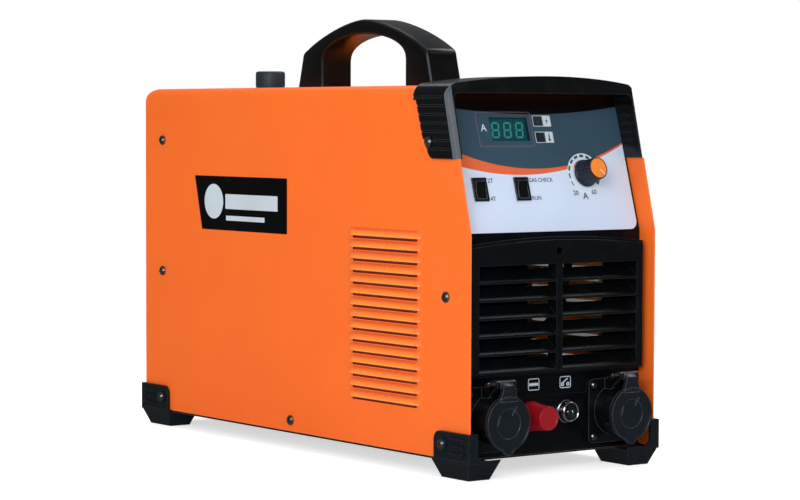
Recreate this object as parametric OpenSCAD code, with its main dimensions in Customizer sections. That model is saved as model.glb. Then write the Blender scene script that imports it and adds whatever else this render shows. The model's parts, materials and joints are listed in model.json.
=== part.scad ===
// Air plasma cutter power unit: sheet steel case with a plastic front, a carrying
// handle, controls on a leaning panel and an air regulator behind the rear panel.
// Millimetres. X to the right, Y to the back, Z up; the ground is Z = 0.

/* [Case] */
// Width across the cover's outer faces
case_w = 204; // [202:1:230]
// Length of the cover from front edge to rear edge
case_l = 525; // [520:1:560]
// Height of the cover's top above the ground
case_top = 330.5; // [330:0.5:350]
// Height of the cover's lower edge above the ground
case_floor = 16.5; // [16:0.5:20]
// Height at which the cover's front edge starts to lean back
kink_z = 206; // [205:1:212]
// Lean of the cover's front edge above that height, in degrees
front_lean = 13.9; // [12:0.1:14.5]
// Radius of the cover's upper rear corner
corner_r = 14; // [10:1:16]
// Radius of the bends along the cover's top edges
bend_r = 10; // [8:0.5:11]
// Thickness of the cover's steel sheet
cover_sheet = 1.2; // [1:0.1:1.5]
// Thickness of the tray's and the rear panel's steel sheet
tray_sheet = 1.5; // [1.2:0.1:2]
// Height of the tray's upturned flanges
tray_flange_h = 25; // [20:1:28]
// Length of one side louvre
louvre_len = 98; // [60:1:100]
// Height from one louvre to the next
louvre_pitch = 10.16; // [9.5:0.01:10.5]
// Number of louvres on each side
louvre_count = 15; // [8:1:15]
// How far a louvre stands out from the side
louvre_out = 2.8; // [2:0.1:3.4]
// Height of the uppermost louvre's slot
louvre_top_z = 200; // [190:0.1:202]
// Setback of the louvres from the cover's front edge
louvre_setback = 72.5; // [60:0.5:90]

/* [Front] */
// Depth of the front panel behind the cover's front edge
panel_recess = 19; // [18:0.5:24]
// Wall of the moulded front panel
panel_wall = 3; // [2.5:0.1:3.5]
// Lean of the control slope, in degrees
slope_lean = 16.5; // [14:0.1:17]
// Depth of the front panel's side flanges
panel_flange = 22; // [20:1:26]
// Forward bulge of the air grille from the front panel
grille_out = 12; // [8:0.5:12]
// Gap between the air grille and the cover's side
grille_side = 4.3; // [4:0.1:10]
// Height of the grille's lower edge
grille_z0 = 85.5; // [85.5:0.5:88]
// Height of the grille's upper edge at its middle
grille_z1 = 202; // [200:0.5:203]
// Height from one grille slot to the next
slot_pitch = 15.2; // [14.5:0.1:16]
// Clear height between two grille slats
slot_h = 3.8; // [3:0.1:5]
// Width of the grille's border beside its slots
grille_border = 9.5; // [8:0.5:24]
// Length of the printed overlay up the slope
overlay_h = 121; // [119:1:122]
// Corner radius of the printed overlay
overlay_r = 8; // [4:1:10]
// Height of the visor's lower edge
visor_z = 268.6; // [262:0.2:275]
// Wall of the visor's moulding
visor_wall = 2.5; // [2:0.1:2.6]
// Rise of the visor's crown from its sides to its middle
visor_crown = 7.5; // [5:0.5:9]
// Radius of the visor's upper corners seen from the front
visor_r = 13; // [12.5:0.5:14]
// Width of the bevel along the visor's front edges
visor_bevel = 5; // [3:0.5:5.5]
// Height of the visor's front band below the cover's top
visor_band = 6.5; // [5:0.5:8]
// Forward bulge of the visor's lip at its middle
visor_bulge = 12; // [8:1:14]
// Length of the visor's roof
visor_len = 44; // [40:1:60]

/* [Controls] */
// Centre of the current dial across the slope
dial_x = 48.5; // [44:0.5:56]
// Centre of the current dial up the slope
dial_s = 50.5; // [48:0.5:54]
// Radius of the current knob at its skirt
knob_r = 12; // [11:0.5:14]
// Height of the current knob above the overlay
knob_h = 20.5; // [18:0.5:24]
// Radius of the dial's shaft
dial_shaft_r = 3; // [2.5:0.1:3.2]
// Centre of the left rocker across the slope
rocker_x1 = -69.7; // [-75:0.1:-60]
// Centre of the right rocker across the slope
rocker_x2 = -24.3; // [-30:0.1:-15]
// Centre of both rockers up the slope
rocker_s = 37.7; // [34:0.1:40]
// Width of the display's window
window_w = 41.5; // [38:0.5:44]
// Height of the display's window
window_h = 21; // [18:0.5:22]

/* [Front sockets] */
// Gap between a large socket's flange and the cover's side
socket_side = 4.8; // [4:0.1:6]
// Height of the large sockets
socket_z = 49; // [48:0.5:50]
// Side of a large socket's square flange
socket_flange = 56; // [54:1:58]
// Spacing of a large socket's screws
socket_screw_gap = 45; // [43:0.5:46]
// Outer radius of a large socket's collar
collar_r = 21.5; // [21:0.5:22]
// Length of a large socket's collar in front of the flange
collar_len = 20.5; // [16:0.5:21]
// Radius of the contact's bore
contact_bore_r = 6.5; // [6:0.1:7]
// Radius of a flap's disc
flap_r = 23; // [22.5:0.5:25]
// Thickness of a flap's disc
flap_t = 4.6; // [3.5:0.1:5]
// Radius of a flap's hinge pin
flap_pin_r = 1.5; // [1.2:0.1:1.8]
// Distance from the left socket's middle to the torch connector's
torch_gap = 45; // [43.5:0.5:47]
// Radius of the torch connector's thread
torch_r = 8; // [7:0.5:9]
// Length of the red cap on the torch connector
torch_cap_len = 25.5; // [23:0.5:28]
// Distance of the signal socket from the middle
signal_x = 17; // [14:0.5:20]
// Radius of the signal socket's barrel
signal_r = 9.2; // [8:0.1:10]

/* [Feet] */
// Height of a foot's wall on the case
foot_wall_top = 40; // [36:1:44]
// Length of a foot's wall along the side
foot_wall_l = 46; // [40:1:50]
// Thickness of a foot's wall
foot_wall = 3; // [2.5:0.1:3.5]
// Width of a foot's block at its top
foot_block_w = 36; // [32:1:40]
// Length of a foot's block at its top
foot_block_l = 51; // [46:1:56]
// Taper of a foot's block from top to ground, on each side
foot_taper = 7; // [4:0.5:9]

/* [Handle] */
// Middle of the handle along the case, from the case's middle
handle_y = 12; // [0:1:20]
// Width of the handle across the case
handle_w = 35; // [30:1:40]
// Length of the handle at its feet
handle_l = 216; // [206:1:226]
// Height of the handle above the cover
handle_h = 63.8; // [60:0.2:70]
// Thickness of the handle's arch at its crown
handle_crown = 14; // [12:0.1:16]
// Length of each leg of the handle
handle_leg = 42; // [36:1:46]

/* [Rear] */
// Depth of the rear panel inside the cover's rear edge
rear_recess = 5.5; // [5:0.5:8]
// Gap between the fan's frame and the tray's flange
fan_side = 11; // [4:0.5:18]
// Centre of the fan above the ground
fan_z = 100; // [95:1:110]
// Side of the fan's square frame
fan_size = 120; // [110:1:122]
// Depth of the fan's frame
fan_depth = 38; // [32:1:40]
// Centre of the power switch across the case
power_x = -62; // [-66:1:-56]
// Height of the power switch
power_z = 262; // [250:1:270]
// Centre of the mains gland across the case
gland_x = -12; // [-16:1:0]
// Height of the mains gland
gland_z = 262; // [250:1:270]
// Radius of the largest mains cable that fits the gland
gland_bore_r = 6.5; // [5:0.5:7]
// Distance of the air regulator's middle from the cover's side
reg_side = 36; // [32:1:42]
// Distance of the air regulator's middle behind the rear panel
reg_back = 37; // [34:1:42]
// Width of the air regulator's square body
reg_size = 40; // [36:1:44]
// Height of the air regulator's body top
reg_top = 302; // [296:1:306]
// Radius of the regulator's knob
reg_knob_r = 16.8; // [15.5:0.1:19]
// Height of the regulator's knob top above the ground
reg_knob_top = 350.7; // [346:0.1:354]
// Radius of the pressure gauge
gauge_r = 20; // [18:0.5:22]
// Radius of the air inlet's hose barb
barb_r = 4.5; // [4:0.1:5]

/* [Inside] */
// Length of the heat sinks
sink_l = 150; // [120:5:180]
// Height of the heat sinks
sink_h = 80; // [70:1:84]
// Outer radius of the choke
choke_r = 30; // [26:0.5:30]
// Radius of a bulk capacitor
cap_r = 15; // [12:0.5:15]
// Height of a bulk capacitor
cap_h = 45; // [35:1:50]
// Outer radius of the air hose
hose_r = 4; // [3.5:0.1:4.5]

/* [Hidden] */

$fn = 48;
seat = 0.05;
fit = 0.3;
run = 0.05;
past = 1;

// Case
cover_in = case_w / 2 - cover_sheet;
tray_half = cover_in - fit;
tray_in = tray_half - tray_sheet;
tray_z = case_floor - 2;
tray_top = tray_z + tray_sheet;
flange_top = tray_top + tray_flange_h;
front_y = panel_recess - case_l / 2;
rear_y = case_l / 2 - rear_recess;
rear_lip = 2;
screw_setback = 33;
screw_low_z = 26.8;
screw_mid_z = 152.6;
screw_high_z = 280.5;
low_screw_y = 4.3;
louvre_hood = 6.4;
louvre_mouth = 2.6;
louvre_root = 0.15;
hole_reach = 12;
rear_top_z = case_top - corner_r - past
  + sqrt(pow(corner_r - cover_sheet, 2) - pow(corner_r - rear_recess, 2));
rear_flange = 20;

// Screws
screw_r = 2;
screw_head_r = 4.6;
screw_head_h = 2.8;
screw_len = 9;
small_r = 1.5;
small_head_r = 3;
small_head_h = 2.2;

// Front
slope_top_z = case_top - cover_sheet - fit;
slope_len = (slope_top_z - kink_z) / cos(slope_lean);
overlay_t = 0.5;
lining_t = 2;
lining_in = tray_half - lining_t;
overlay_half = lining_in - fit;
grille_w = 2 * (cover_in - grille_side);
grille_sag = 5.5;
grille_wall = 2.5;
grille_step = 2.5;
grille_rim = 3;
grille_rows = 6;
grille_lip = 11;
divider_w = 7;
slot_w = (grille_w - divider_w) / 2 - grille_border;
slot_z1 = grille_z1 - 25;
slot_low_z = grille_z0 + 4;
slot_top_z = slot_z1 + slot_h / 2;
slat_t = 2;
slat_back = 0.5;
slat_front = grille_out - 1;
vent_h = slot_pitch * grille_rows - 3;
vent_z = slot_z1 - slot_pitch * (grille_rows - 1) / 2;
panel_screw_z = grille_z1 - 12;
face_w = overlay_t + seat;

// Visor
visor_half = case_w / 2 + fit + visor_wall;
visor_edge = 10;
visor_top = case_top + visor_crown + fit + 0.5;
visor_bow = (pow(visor_half, 2) + pow(visor_crown, 2)) / (2 * visor_crown);
visor_front = front_edge(case_top) + visor_wall - 0.2;
visor_back = visor_front + visor_len;
visor_low_back = 41;
visor_low_rise = 20;
visor_low_r = 8;
visor_grooves = 7;
groove_pitch = 7.3;
groove_h = 1.6;
groove_d = 0.7;
opening_r = 6;
visor_screw_back = 36;
visor_screw_up = 2;

// Controls
rocker_w = 10.4;
rocker_l = 15.2;
bezel_w = 15.3;
bezel_l = 20.7;
bezel_t = 1.6;
switch_body_w = 12.9;
switch_body_l = 19;
switch_depth = 17;
rocker_pivot_w = -1;
rocker_pin_r = 1.2;
rocker_throw = 8;
rocker_end_w = 3.3;
pot_r = 8.5;
pot_h = 9;
pot_bush_r = dial_shaft_r + 1.2;
pot_nut_h = 2;
knob_top_r = knob_r - 2.2;
knob_gap = 0.8;
knob_flutes = 18;
knob_cap_h = 2;
board_w = -24;
board_t = 1.6;
board_half = tray_half - 11.5;
board_s0 = 15;
board_s1 = 115;
board_gap = 1.5;
boss_r = 3.2;
boss_inset = 5;
window_x = -26;
window_s = 91;
digit_w = 10;
digit_h = 15.4;
digit_pitch = 13;
lamp_x = 6.5;
lamp_size = 9;
lamp_rows = [98.2, 83.8];
light_lens_t = 1.2;

// Sockets
socket_x = cover_in - socket_side - socket_flange / 2;
torch_x = torch_gap - socket_x;
flange_t = 4;
socket_rear_r = 17;
socket_rear = 26;
collar_in_r = collar_r - 4;
core_r = 12;
core_drop = 3;
contact_r = 9.5;
contact_len = 34;
hinge_z = 31.5;
hinge_w = flange_t + collar_len - 2.5;
knuckle_r = 3.6;
knuckle_half = 6;
lug_t = 3.5;
lug_gap = 0.4;
flap_w = flange_t + collar_len + 0.4;
flap_drop = 1.5;
flap_rim = 5;
flap_dish = 1.2;
flap_tab_z = 28.5;
spring_r = 2.4;
spring_wire = 0.45;
spring_turns = 4;
spring_len = 6;
pin_half = knuckle_half + lug_gap + lug_t + spring_len + 1.5;
torch_cap_base = 1.5;
torch_stub = 17;
torch_nut_r = torch_r + 4.5;
torch_barb = 22;
cap_skirt_r = 13.5;
cap_tip_r = 9.8;
signal_len = 8.5;
signal_z = socket_z + 1.5;
signal_wall = 1.8;

// Feet
foot_out = case_w / 2 + fit + foot_wall;
foot_end = case_l / 2 + fit + foot_wall;
foot_front_w = 9.5;
foot_top_z = tray_z - seat;
foot_screw_y = 34.5;
foot_screw_z = 28.9;
foot_overhang = 1;
foot_block_top = 17;
foot_corner_r = 8;
foot_brace = 7;

// Handle
handle_top = case_top + handle_h;
handle_z = case_top + seat;
shoulder_z = case_top + 32;
leg_slope = 7.5;
handle_bolt_r = 3;
handle_bolt_len = 18;
handle_bolt_gap = 18;

// The handle's outline: the outer line and the hole
handle_foot = handle_l / 2;
handle_knee = handle_foot - leg_slope;
handle_out = concat([[handle_foot, handle_z], [handle_knee, shoulder_z - 4]],
  bezier([[handle_knee, shoulder_z - 4], [handle_knee - 1, shoulder_z + 3],
    [handle_foot - 11, shoulder_z + 3], [handle_foot - 15, shoulder_z + 5]], 5),
  bezier([[handle_foot - 15, shoulder_z + 5], [handle_foot - 36, handle_top - 15],
    [handle_foot / 4, handle_top], [0, handle_top]]));
handle_gap = handle_foot - handle_leg;
handle_in = concat([[handle_gap, handle_z - past]],
  bezier([[handle_gap, shoulder_z - 6], [handle_gap, shoulder_z + 10],
    [handle_gap / 2 - 5, handle_top - handle_crown], [0, handle_top - handle_crown]]));

// Fan
fan_x = fan_size / 2 + fan_side - tray_in;
fan_bore = fan_size / 2 - 2.5;
fan_hub_r = 21;
fan_blades = 7;
fan_tip_gap = 1.2;
fan_axle_r = 2;
fan_y1 = rear_y - tray_sheet - seat;
fan_y0 = fan_y1 - fan_depth;
strut_t = 4;
guard_wire = 1.1;
guard_rings = 5;
guard_pitch = 10.5;
guard_hole = fan_size / 2 - 7.5;

// Power switch and gland
power_w = 21;
power_l = 28;
power_depth = 26;
gland_hex_r = 13;
gland_thread_r = 10;

// Regulator
reg_x = case_w / 2 - reg_side;
reg_y = rear_y + reg_back;
reg_h = 44;
bonnet_r = 13;
bonnet_h = 22;
reg_stem_r = 4;
bracket_t = 2;
bracket_w = 34;
bracket_drop = 26;
knob_low = reg_top + bracket_t + 2;
bowl_r = 16.5;
bowl_h = 58;
bowl_wall = 2;
drain_r = 3;
bowl_z = reg_top - reg_h - seat - bowl_h;
gauge_z = reg_top - 22;
gauge_depth = 23;
gauge_neck = 4;
gauge_wall = 1.6;
needle_r = 1;
needle_len = 13;
lens_t = 1.5;
nipple_r = 6;
barb_end = 34;
valve_size = 30;
valve_half_h = 12;
valve_coil_w = 26;
valve_coil_l = 22;
valve_coil_h = 26;
nozzle_len = 14;
valve_y1 = rear_y - tray_sheet - 6;

// Inside
sink_y = 15;
sink_gap = 3;
sink_base = 8;
sink_fin = 2;
sink_pitch = 7;
sink_side = 10;
coil_side = 1;
coil_gap = 5;
sink_w = tray_in - choke_r - sink_gap - (sink_side + coil_side + coil_gap) / 2;
sink_mid = sink_side + sink_w + sink_gap - tray_in;
sink_x1 = sink_mid - sink_gap - sink_w / 2;
sink_x2 = sink_mid + sink_gap + sink_w / 2;
standoff_inset = 6;
sink_top = tray_top + seat + sink_h;
standoff_h = 10;
main_z = sink_top + standoff_h + 2 * seat;
main_w = 2 * sink_w + 4;
main_l = sink_l + 40;
cap_x = main_w / 2 - cap_r - 5;
device_gap = 4;
device_w = cap_x - cap_r - 5 - device_gap;
device_l = 5;
device_h = 24;
device_x = device_gap + device_w / 2;
cap_y = 22;
cap_middle = sink_y + 30;
coil_x = tray_in - coil_side - choke_r;
choke_wire = 9.9;
choke_y = 60;
core_w = 44;
core_l = 64;
core_h = 64;
core_bar = 12;
winding_w = 34;
transformer_y = -50;

// Where the case stands in the part's frame: the whole part is centred front to back.
front_reach = case_l / 2 - panel_recess + max(torch_cap_base + torch_cap_len, flap_w + flap_t);
rear_reach = rear_y + reg_back + reg_size / 2 + gauge_neck + gauge_depth;
case_y = (front_reach - rear_reach) / 2;

function arc(cx, cy, r, a0, a1, n = 10) =
  [for (i = [0:n]) let(a = a0 + (a1 - a0) * i / n) [cx + r * cos(a), cy + r * sin(a)]];
function bezier(p, n = 12) =
  [for (i = [0:n]) let(t = i / n, u = 1 - t)
    u * u * u * p[0] + 3 * u * u * t * p[1] + 3 * u * t * t * p[2] + t * t * t * p[3]];
function reversed(p) = [for (i = [len(p) - 1:-1:0]) p[i]];
function flipped(p) = [for (q = reversed(p)) [-q[0], q[1]]];
function front_edge(z) = -case_l / 2 + max(0, z - kink_z) * tan(front_lean);
function unit(v) = v / norm(v);

// Helpers: a placed frame's own X and Y lie in the face and its own Z points outwards.
module in_case() translate([0, case_y, 0]) children();
module along_x(x0, x1) translate([x0, 0, 0]) rotate([90, 0, 90]) linear_extrude(x1 - x0) children();
module on_front(x, z, w = 0) translate([x, front_y - w, z]) rotate([90, 0, 0]) children();
module on_slope(x, s, w = 0)
  translate([0, front_y, kink_z]) rotate([90 - slope_lean, 0, 0]) translate([x, s, w]) children();
module on_side(y, z, w = 0) translate([-case_w / 2 - w, y, z]) rotate([90, 0, -90]) children();
module on_rear(x, z, w = 0) translate([x, rear_y + w, z]) rotate([90, 0, 180]) children();
module along_y(y0, y1) translate([0, y1, 0]) rotate([90, 0, 0]) linear_extrude(y1 - y0) children();
module both_sides() for (side = [0, 1]) mirror([side, 0, 0]) children();
module slab(w, l, z0, z1) translate([-w / 2, -l / 2, z0]) cube([w, l, z1 - z0]);
module rod(r, z0, z1) translate([0, 0, z0]) cylinder(r = r, h = z1 - z0);
module tube(r, bore, z0, z1) difference() {
  rod(r, z0, z1);
  rod(bore, z0 - past, z1 + past);
}
module hexagon(r, z0, z1) translate([0, 0, z0]) cylinder(r = r, h = z1 - z0, $fn = 6);
module rounded(w, l, r, z0, z1) {
  slab(w - 2 * r, l, z0, z1);
  slab(w, l - 2 * r, z0, z1);
  for (x = [-1, 1], y = [-1, 1]) translate([x * (w / 2 - r), y * (l / 2 - r), 0]) rod(r, z0, z1);
}
module pan_screw(r, head_r, head_h, length) {
  difference() {
    union() {
      rod(head_r, 0, head_h / 2);
      translate([0, 0, head_h / 2]) cylinder(r1 = head_r, r2 = head_r * 0.65, h = head_h / 2);
      rod(r, -length, 0);
    }
    for (a = [0, 90]) rotate(a) slab(head_r, r / 2, head_h / 2, head_h + past);
  }
}

// Screw places on a side, as distance along the case and height
cover_screw_places = [[case_l / 2 - screw_setback, screw_high_z],
  [case_l / 2 - screw_setback, screw_mid_z], [screw_setback - case_l / 2, screw_mid_z],
  [low_screw_y, screw_low_z]];
foot_screw_places = [for (k = [-1, 1]) [k * (case_l / 2 - foot_screw_y), foot_screw_z]];
visor_screw_place = [front_edge(screw_high_z) + visor_screw_back, screw_high_z + visor_screw_up];

module side_holes(r) both_sides()
  for (p = concat(cover_screw_places, foot_screw_places, [visor_screw_place]))
    on_side(p[0], p[1]) rod(r, -cover_sheet - hole_reach, past + foot_wall + visor_wall);

module base_tray() color("dimgray") in_case() difference() {
  union() {
    translate([-tray_half, front_y, tray_z]) cube([2 * tray_half, rear_y - front_y, tray_sheet]);
    both_sides() translate([-tray_half, front_y + panel_wall + fit, tray_z])
      cube([tray_sheet, rear_y - front_y - panel_wall - tray_sheet - 2 * fit, flange_top - tray_z]);
    translate([-tray_half, front_y + panel_wall + fit, tray_z])
      cube([2 * tray_half, tray_sheet, flange_top - tray_z - tray_sheet]);
    translate([-tray_half, rear_y - 2 * tray_sheet - fit, tray_z])
      cube([2 * tray_half, tray_sheet, flange_top - tray_z - tray_sheet]);
  }
  side_holes(screw_r + run);
  both_sides() on_front(socket_x, socket_z) {
    rod(socket_rear_r + 1, -hole_reach, 0);
    socket_screw_spots() rod(small_r + fit, -hole_reach, 0);
  }
  on_front(torch_x, socket_z) rod(torch_nut_r + 1, -hole_reach, 0);
}

// The cover's outline seen from the front, inset by a depth
module cover_outline(inset) polygon(concat(
  [[inset - case_w / 2, -past], [case_w / 2 - inset, -past]],
  arc(case_w / 2 - bend_r, case_top - bend_r, bend_r - inset, 0, 90),
  arc(bend_r - case_w / 2, case_top - bend_r, bend_r - inset, 90, 180)));
// The cover's outline and its hollow seen from the side
module cover_profile() polygon(concat(
  [[-case_l / 2, case_floor], [-case_l / 2, kink_z], [front_edge(visor_z), visor_z],
   [front_edge(visor_z) + visor_wall + fit, visor_z],
   [front_edge(case_top) + visor_wall + fit, case_top]],
  arc(case_l / 2 - corner_r, case_top - corner_r, corner_r, 90, 0),
  [[case_l / 2, case_floor]]));
module cover_cavity() polygon(concat(
  [[-case_l, 0], [-case_l, case_top - cover_sheet]],
  arc(case_l / 2 - corner_r, case_top - corner_r, corner_r - cover_sheet, 90, 0),
  [[case_l / 2 - cover_sheet, case_top - corner_r - rear_lip],
   [case_l, case_top - corner_r - rear_lip], [case_l, 0]]));
module at_louvres() for (i = [0:louvre_count - 1])
  on_side(louvre_setback + louvre_len / 2 - case_l / 2, louvre_top_z - i * louvre_pitch) children();
module louvre_hoods() at_louvres() along_x(-louvre_len / 2, louvre_len / 2)
  polygon([[0, -cover_sheet / 2], [louvre_hood, -cover_sheet / 2], [louvre_hood, 0], [0, louvre_out]]);
module louvre_slots() at_louvres() along_x(cover_sheet - louvre_len / 2, louvre_len / 2 - cover_sheet)
  polygon([[-louvre_mouth, -2 * cover_sheet], [-louvre_mouth, louvre_out - cover_sheet],
    [0, louvre_out - cover_sheet], [louvre_hood * 0.6, -louvre_root],
    [louvre_hood * 0.6, -2 * cover_sheet]]);

module outer_cover() color([0.94, 0.42, 0.12]) in_case() difference() {
  union() {
    intersection() {
      along_x(-case_w / 2, case_w / 2) cover_profile();
      along_y(-case_l, case_l) cover_outline(0);
    }
    both_sides() louvre_hoods();
  }
  intersection() {
    along_x(-case_w, case_w) cover_cavity();
    along_y(-2 * case_l, 2 * case_l) cover_outline(cover_sheet);
  }
  both_sides() louvre_slots();
  side_holes(screw_r + run);
  handle_bolts(handle_bolt_r + run, past);
}

// Outline of the front panel seen from the side, moved back by a depth
function panel_line(d) = [[front_y + d, tray_top + seat],
  [front_y + d, kink_z + d * tan(slope_lean / 2)],
  [front_y + d / cos(slope_lean) + (slope_top_z - kink_z) * tan(slope_lean), slope_top_z]];
module panel_band(d0, d1) polygon(concat(panel_line(d0), reversed(panel_line(d1))));

module front_panel() color([0.07, 0.075, 0.08]) in_case() difference() {
  union() {
    intersection() {
      union() {
        along_x(-tray_half, tray_half) panel_band(0, panel_wall);
        both_sides() difference() {
          along_x(-tray_half, -tray_half + panel_wall) panel_band(panel_wall / 2, panel_flange);
          translate([-case_w, front_y + panel_wall, 0]) cube([case_w, case_l, flange_top + fit]);
        }
      }
      along_y(-case_l, case_l) cover_outline(cover_sheet + fit);
    }
    both_sides() for (s = [board_s0 + boss_inset, board_s1 - boss_inset])
      on_slope(boss_inset - board_half, s) rod(boss_r, board_w + board_t + seat, -panel_wall / 2);
  }
  on_front(0, vent_z) slab(grille_w - 2 * grille_lip, vent_h, -2 * panel_wall, past);
  on_front(0, panel_screw_z) rod(small_r + run, -2 * panel_wall, past);
  both_sides() on_front(socket_x, socket_z) {
    rod(socket_rear_r + fit, -2 * panel_wall, past);
    socket_screw_spots() rod(small_r + run, -2 * panel_wall, past);
  }
  on_front(torch_x, socket_z) rod(torch_r + run, -2 * panel_wall, past);
  on_front(signal_x, signal_z) rod(signal_r - signal_wall + fit, -2 * panel_wall, past);
  slope_holes(-2 * panel_wall);
  side_holes(screw_r + run);
}
// Openings of the slope for the window, the lamps, the rockers and the dial
module slope_holes(w0) {
  on_slope(window_x, window_s) slab(window_w, window_h, w0, past);
  for (s = lamp_rows) on_slope(lamp_x, s) slab(lamp_size, lamp_size, w0, past);
  for (x = [rocker_x1, rocker_x2]) on_slope(x, rocker_s)
    slab(switch_body_w + 2 * fit, switch_body_l + 2 * fit, w0, past);
  on_slope(dial_x, dial_s) rod(pot_bush_r + run, w0, past);
}
module socket_screw_spots() for (x = [-1, 1], y = [-1, 1])
  translate([x, y, 0] * socket_screw_gap / 2) children();

module grille_outline(inset) {
  half = grille_w / 2 - inset;
  z1 = grille_z1 - inset;
  bow = (half * half + grille_sag * grille_sag) / (2 * grille_sag);
  edge = asin(half / bow);
  polygon(concat([[half, grille_z0 + inset]], arc(0, z1 - bow, bow, 90 - edge, 90 + edge, 16),
    [[-half, grille_z0 + inset]]));
}
module front_grille() color([0.1, 0.105, 0.11]) in_case() {
  grille_shell();
  grille_slats();
}
module grille_shell() difference() {
  union() {
    on_front(0, 0, seat) linear_extrude(grille_out - grille_rim - seat) grille_outline(0);
    on_front(0, 0, grille_out - grille_rim) linear_extrude(grille_rim) grille_outline(grille_step);
  }
  difference() {
    on_front(0, 0, -past) linear_extrude(grille_out + past - grille_wall)
      grille_outline(grille_step + grille_wall);
    on_front(0, panel_screw_z) rod(small_head_r + 2, 0, grille_out);
  }
  at_slats((slot_low_z + slot_top_z) / 2) slab(slot_w, slot_top_z - slot_low_z, -past, grille_out + past);
  on_front(0, panel_screw_z) {
    rod(small_r + run, -past, grille_out);
    rod(small_head_r + 0.6, 3, grille_out + past);
  }
}
module at_slats(z) for (x = [-1, 1]) on_front(x * (divider_w + slot_w) / 2, z) children();
// Slats that rise inwards, and the walls that hold their ends
module grille_slats() {
  for (k = [0:grille_rows - 1]) at_slats(slot_z1 - k * slot_pitch)
    along_x(-(slot_w + slat_t) / 2, (slot_w + slat_t) / 2)
      polygon([[slot_h / 2 - slot_pitch, slat_front], [slot_h / 2 - slot_pitch + slat_t, slat_front],
        [-slot_h / 2, slat_back], [-slot_h / 2 - slat_t, slat_back]]);
  at_slats((slot_low_z + slot_top_z) / 2) for (end = [-1, 1]) translate([end * (slot_w + slat_t) / 2, 0, 0])
    slab(slat_t, slot_top_z - slot_low_z + 2 * slat_t, slat_back, slat_front);
}

module control_overlay() color([0.8, 0.86, 0.93]) in_case() difference() {
  on_slope(0, overlay_h / 2) rounded(2 * overlay_half, overlay_h, overlay_r, seat, overlay_t);
  slope_holes(-past);
}

// The visor's outlines seen from above and from the front
module visor_plan() polygon(concat(
  [[-visor_half, visor_back], [visor_half, visor_back]],
  bezier([[visor_half, visor_front], [case_w * 0.46, visor_front - visor_bulge * 0.6],
    [case_w * 0.25, visor_front - visor_bulge], [0, visor_front - visor_bulge]]),
  bezier([[0, visor_front - visor_bulge], [-case_w * 0.25, visor_front - visor_bulge],
    [-case_w * 0.46, visor_front - visor_bulge * 0.6], [-visor_half, visor_front]])));
module visor_outline() {
  turn = asin((visor_half - visor_r) / (visor_bow - visor_r));
  corner_z = visor_top - visor_bow + (visor_bow - visor_r) * cos(turn);
  polygon(concat([[visor_half, 0]], arc(visor_half - visor_r, corner_z, visor_r, 0, 90 - turn),
    arc(0, visor_top - visor_bow, visor_bow, 90 - turn, 90 + turn, 16),
    arc(visor_r - visor_half, corner_z, visor_r, 90 + turn, 180), [[-visor_half, 0]]));
}
module opening_outline() polygon(concat([[-lining_in, 0], [lining_in, 0]],
  arc(lining_in - opening_r, case_top - visor_band - opening_r, opening_r, 0, 90),
  arc(opening_r - lining_in, case_top - visor_band - opening_r, opening_r, 90, 180)));
// A side of the visor, the cover's space behind its own front edge, and the lining, from the side
module visor_side() polygon(concat(
  [[front_edge(case_top), case_top + 1], [front_edge(visor_z), visor_z]],
  arc(front_edge(visor_z) + visor_low_back - visor_low_r, visor_z + visor_low_r, visor_low_r, -90, -20, 6),
  [[front_edge(visor_z) + visor_low_back + visor_low_r, visor_z + visor_low_rise],
   [visor_back, case_top + 1]]));
module covered() polygon([[front_edge(visor_z) + visor_wall, 0],
  [front_edge(visor_z) + visor_wall, visor_z],
  [front_edge(2 * case_top) + visor_wall, 2 * case_top], [case_l, 2 * case_top], [case_l, 0]]);
function slope_y(z) = front_y + (z - kink_z) * tan(slope_lean) - fit / cos(slope_lean);
module lining() polygon([[front_edge(visor_z) + 1, visor_z], [slope_y(visor_z), visor_z],
  [slope_y(case_top - visor_band), case_top - visor_band],
  [slope_y(case_top - visor_band), case_top], [front_edge(case_top) + 1, case_top]]);
module visor() color([0.09, 0.095, 0.1]) in_case() difference() {
  union() {
    difference() {
      intersection() {
        union() {
          translate([0, 0, case_top - visor_band - opening_r])
            linear_extrude(visor_band + opening_r + 3 * visor_crown) visor_plan();
          both_sides() along_x(-visor_half, visor_edge - visor_half) visor_side();
        }
        along_y(-case_l, case_l) visor_outline();
      }
      intersection() {
        along_x(-case_w, case_w) covered();
        along_y(-case_l, case_l) cover_outline(-fit);
      }
      along_y(-case_l, visor_back) opening_outline();
      both_sides() translate([-visor_half, front_edge(visor_z), visor_z]) rotate([-front_lean, 0, 0])
        rotate(45) slab(visor_bevel * sqrt(2), visor_bevel * sqrt(2), -visor_bevel, 2 * visor_len);
    }
    intersection() {
      both_sides() along_x(-tray_half, -lining_in) lining();
      along_y(-case_l, case_l) cover_outline(cover_sheet + fit);
    }
  }
  both_sides() for (k = [1:visor_grooves]) visor_groove(visor_z + k * groove_pitch);
  side_holes(screw_r + run);
}
// A groove at one height of a side and of its lining
module visor_groove(z) {
  translate([-visor_half - past, front_edge(z) + visor_bevel + 2, z])
    cube([past + groove_d, visor_len, groove_h]);
  translate([-lining_in - groove_d, front_edge(z) + visor_bevel + 2, z])
    cube([past + groove_d, panel_recess + 20, groove_h]);
}

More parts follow.
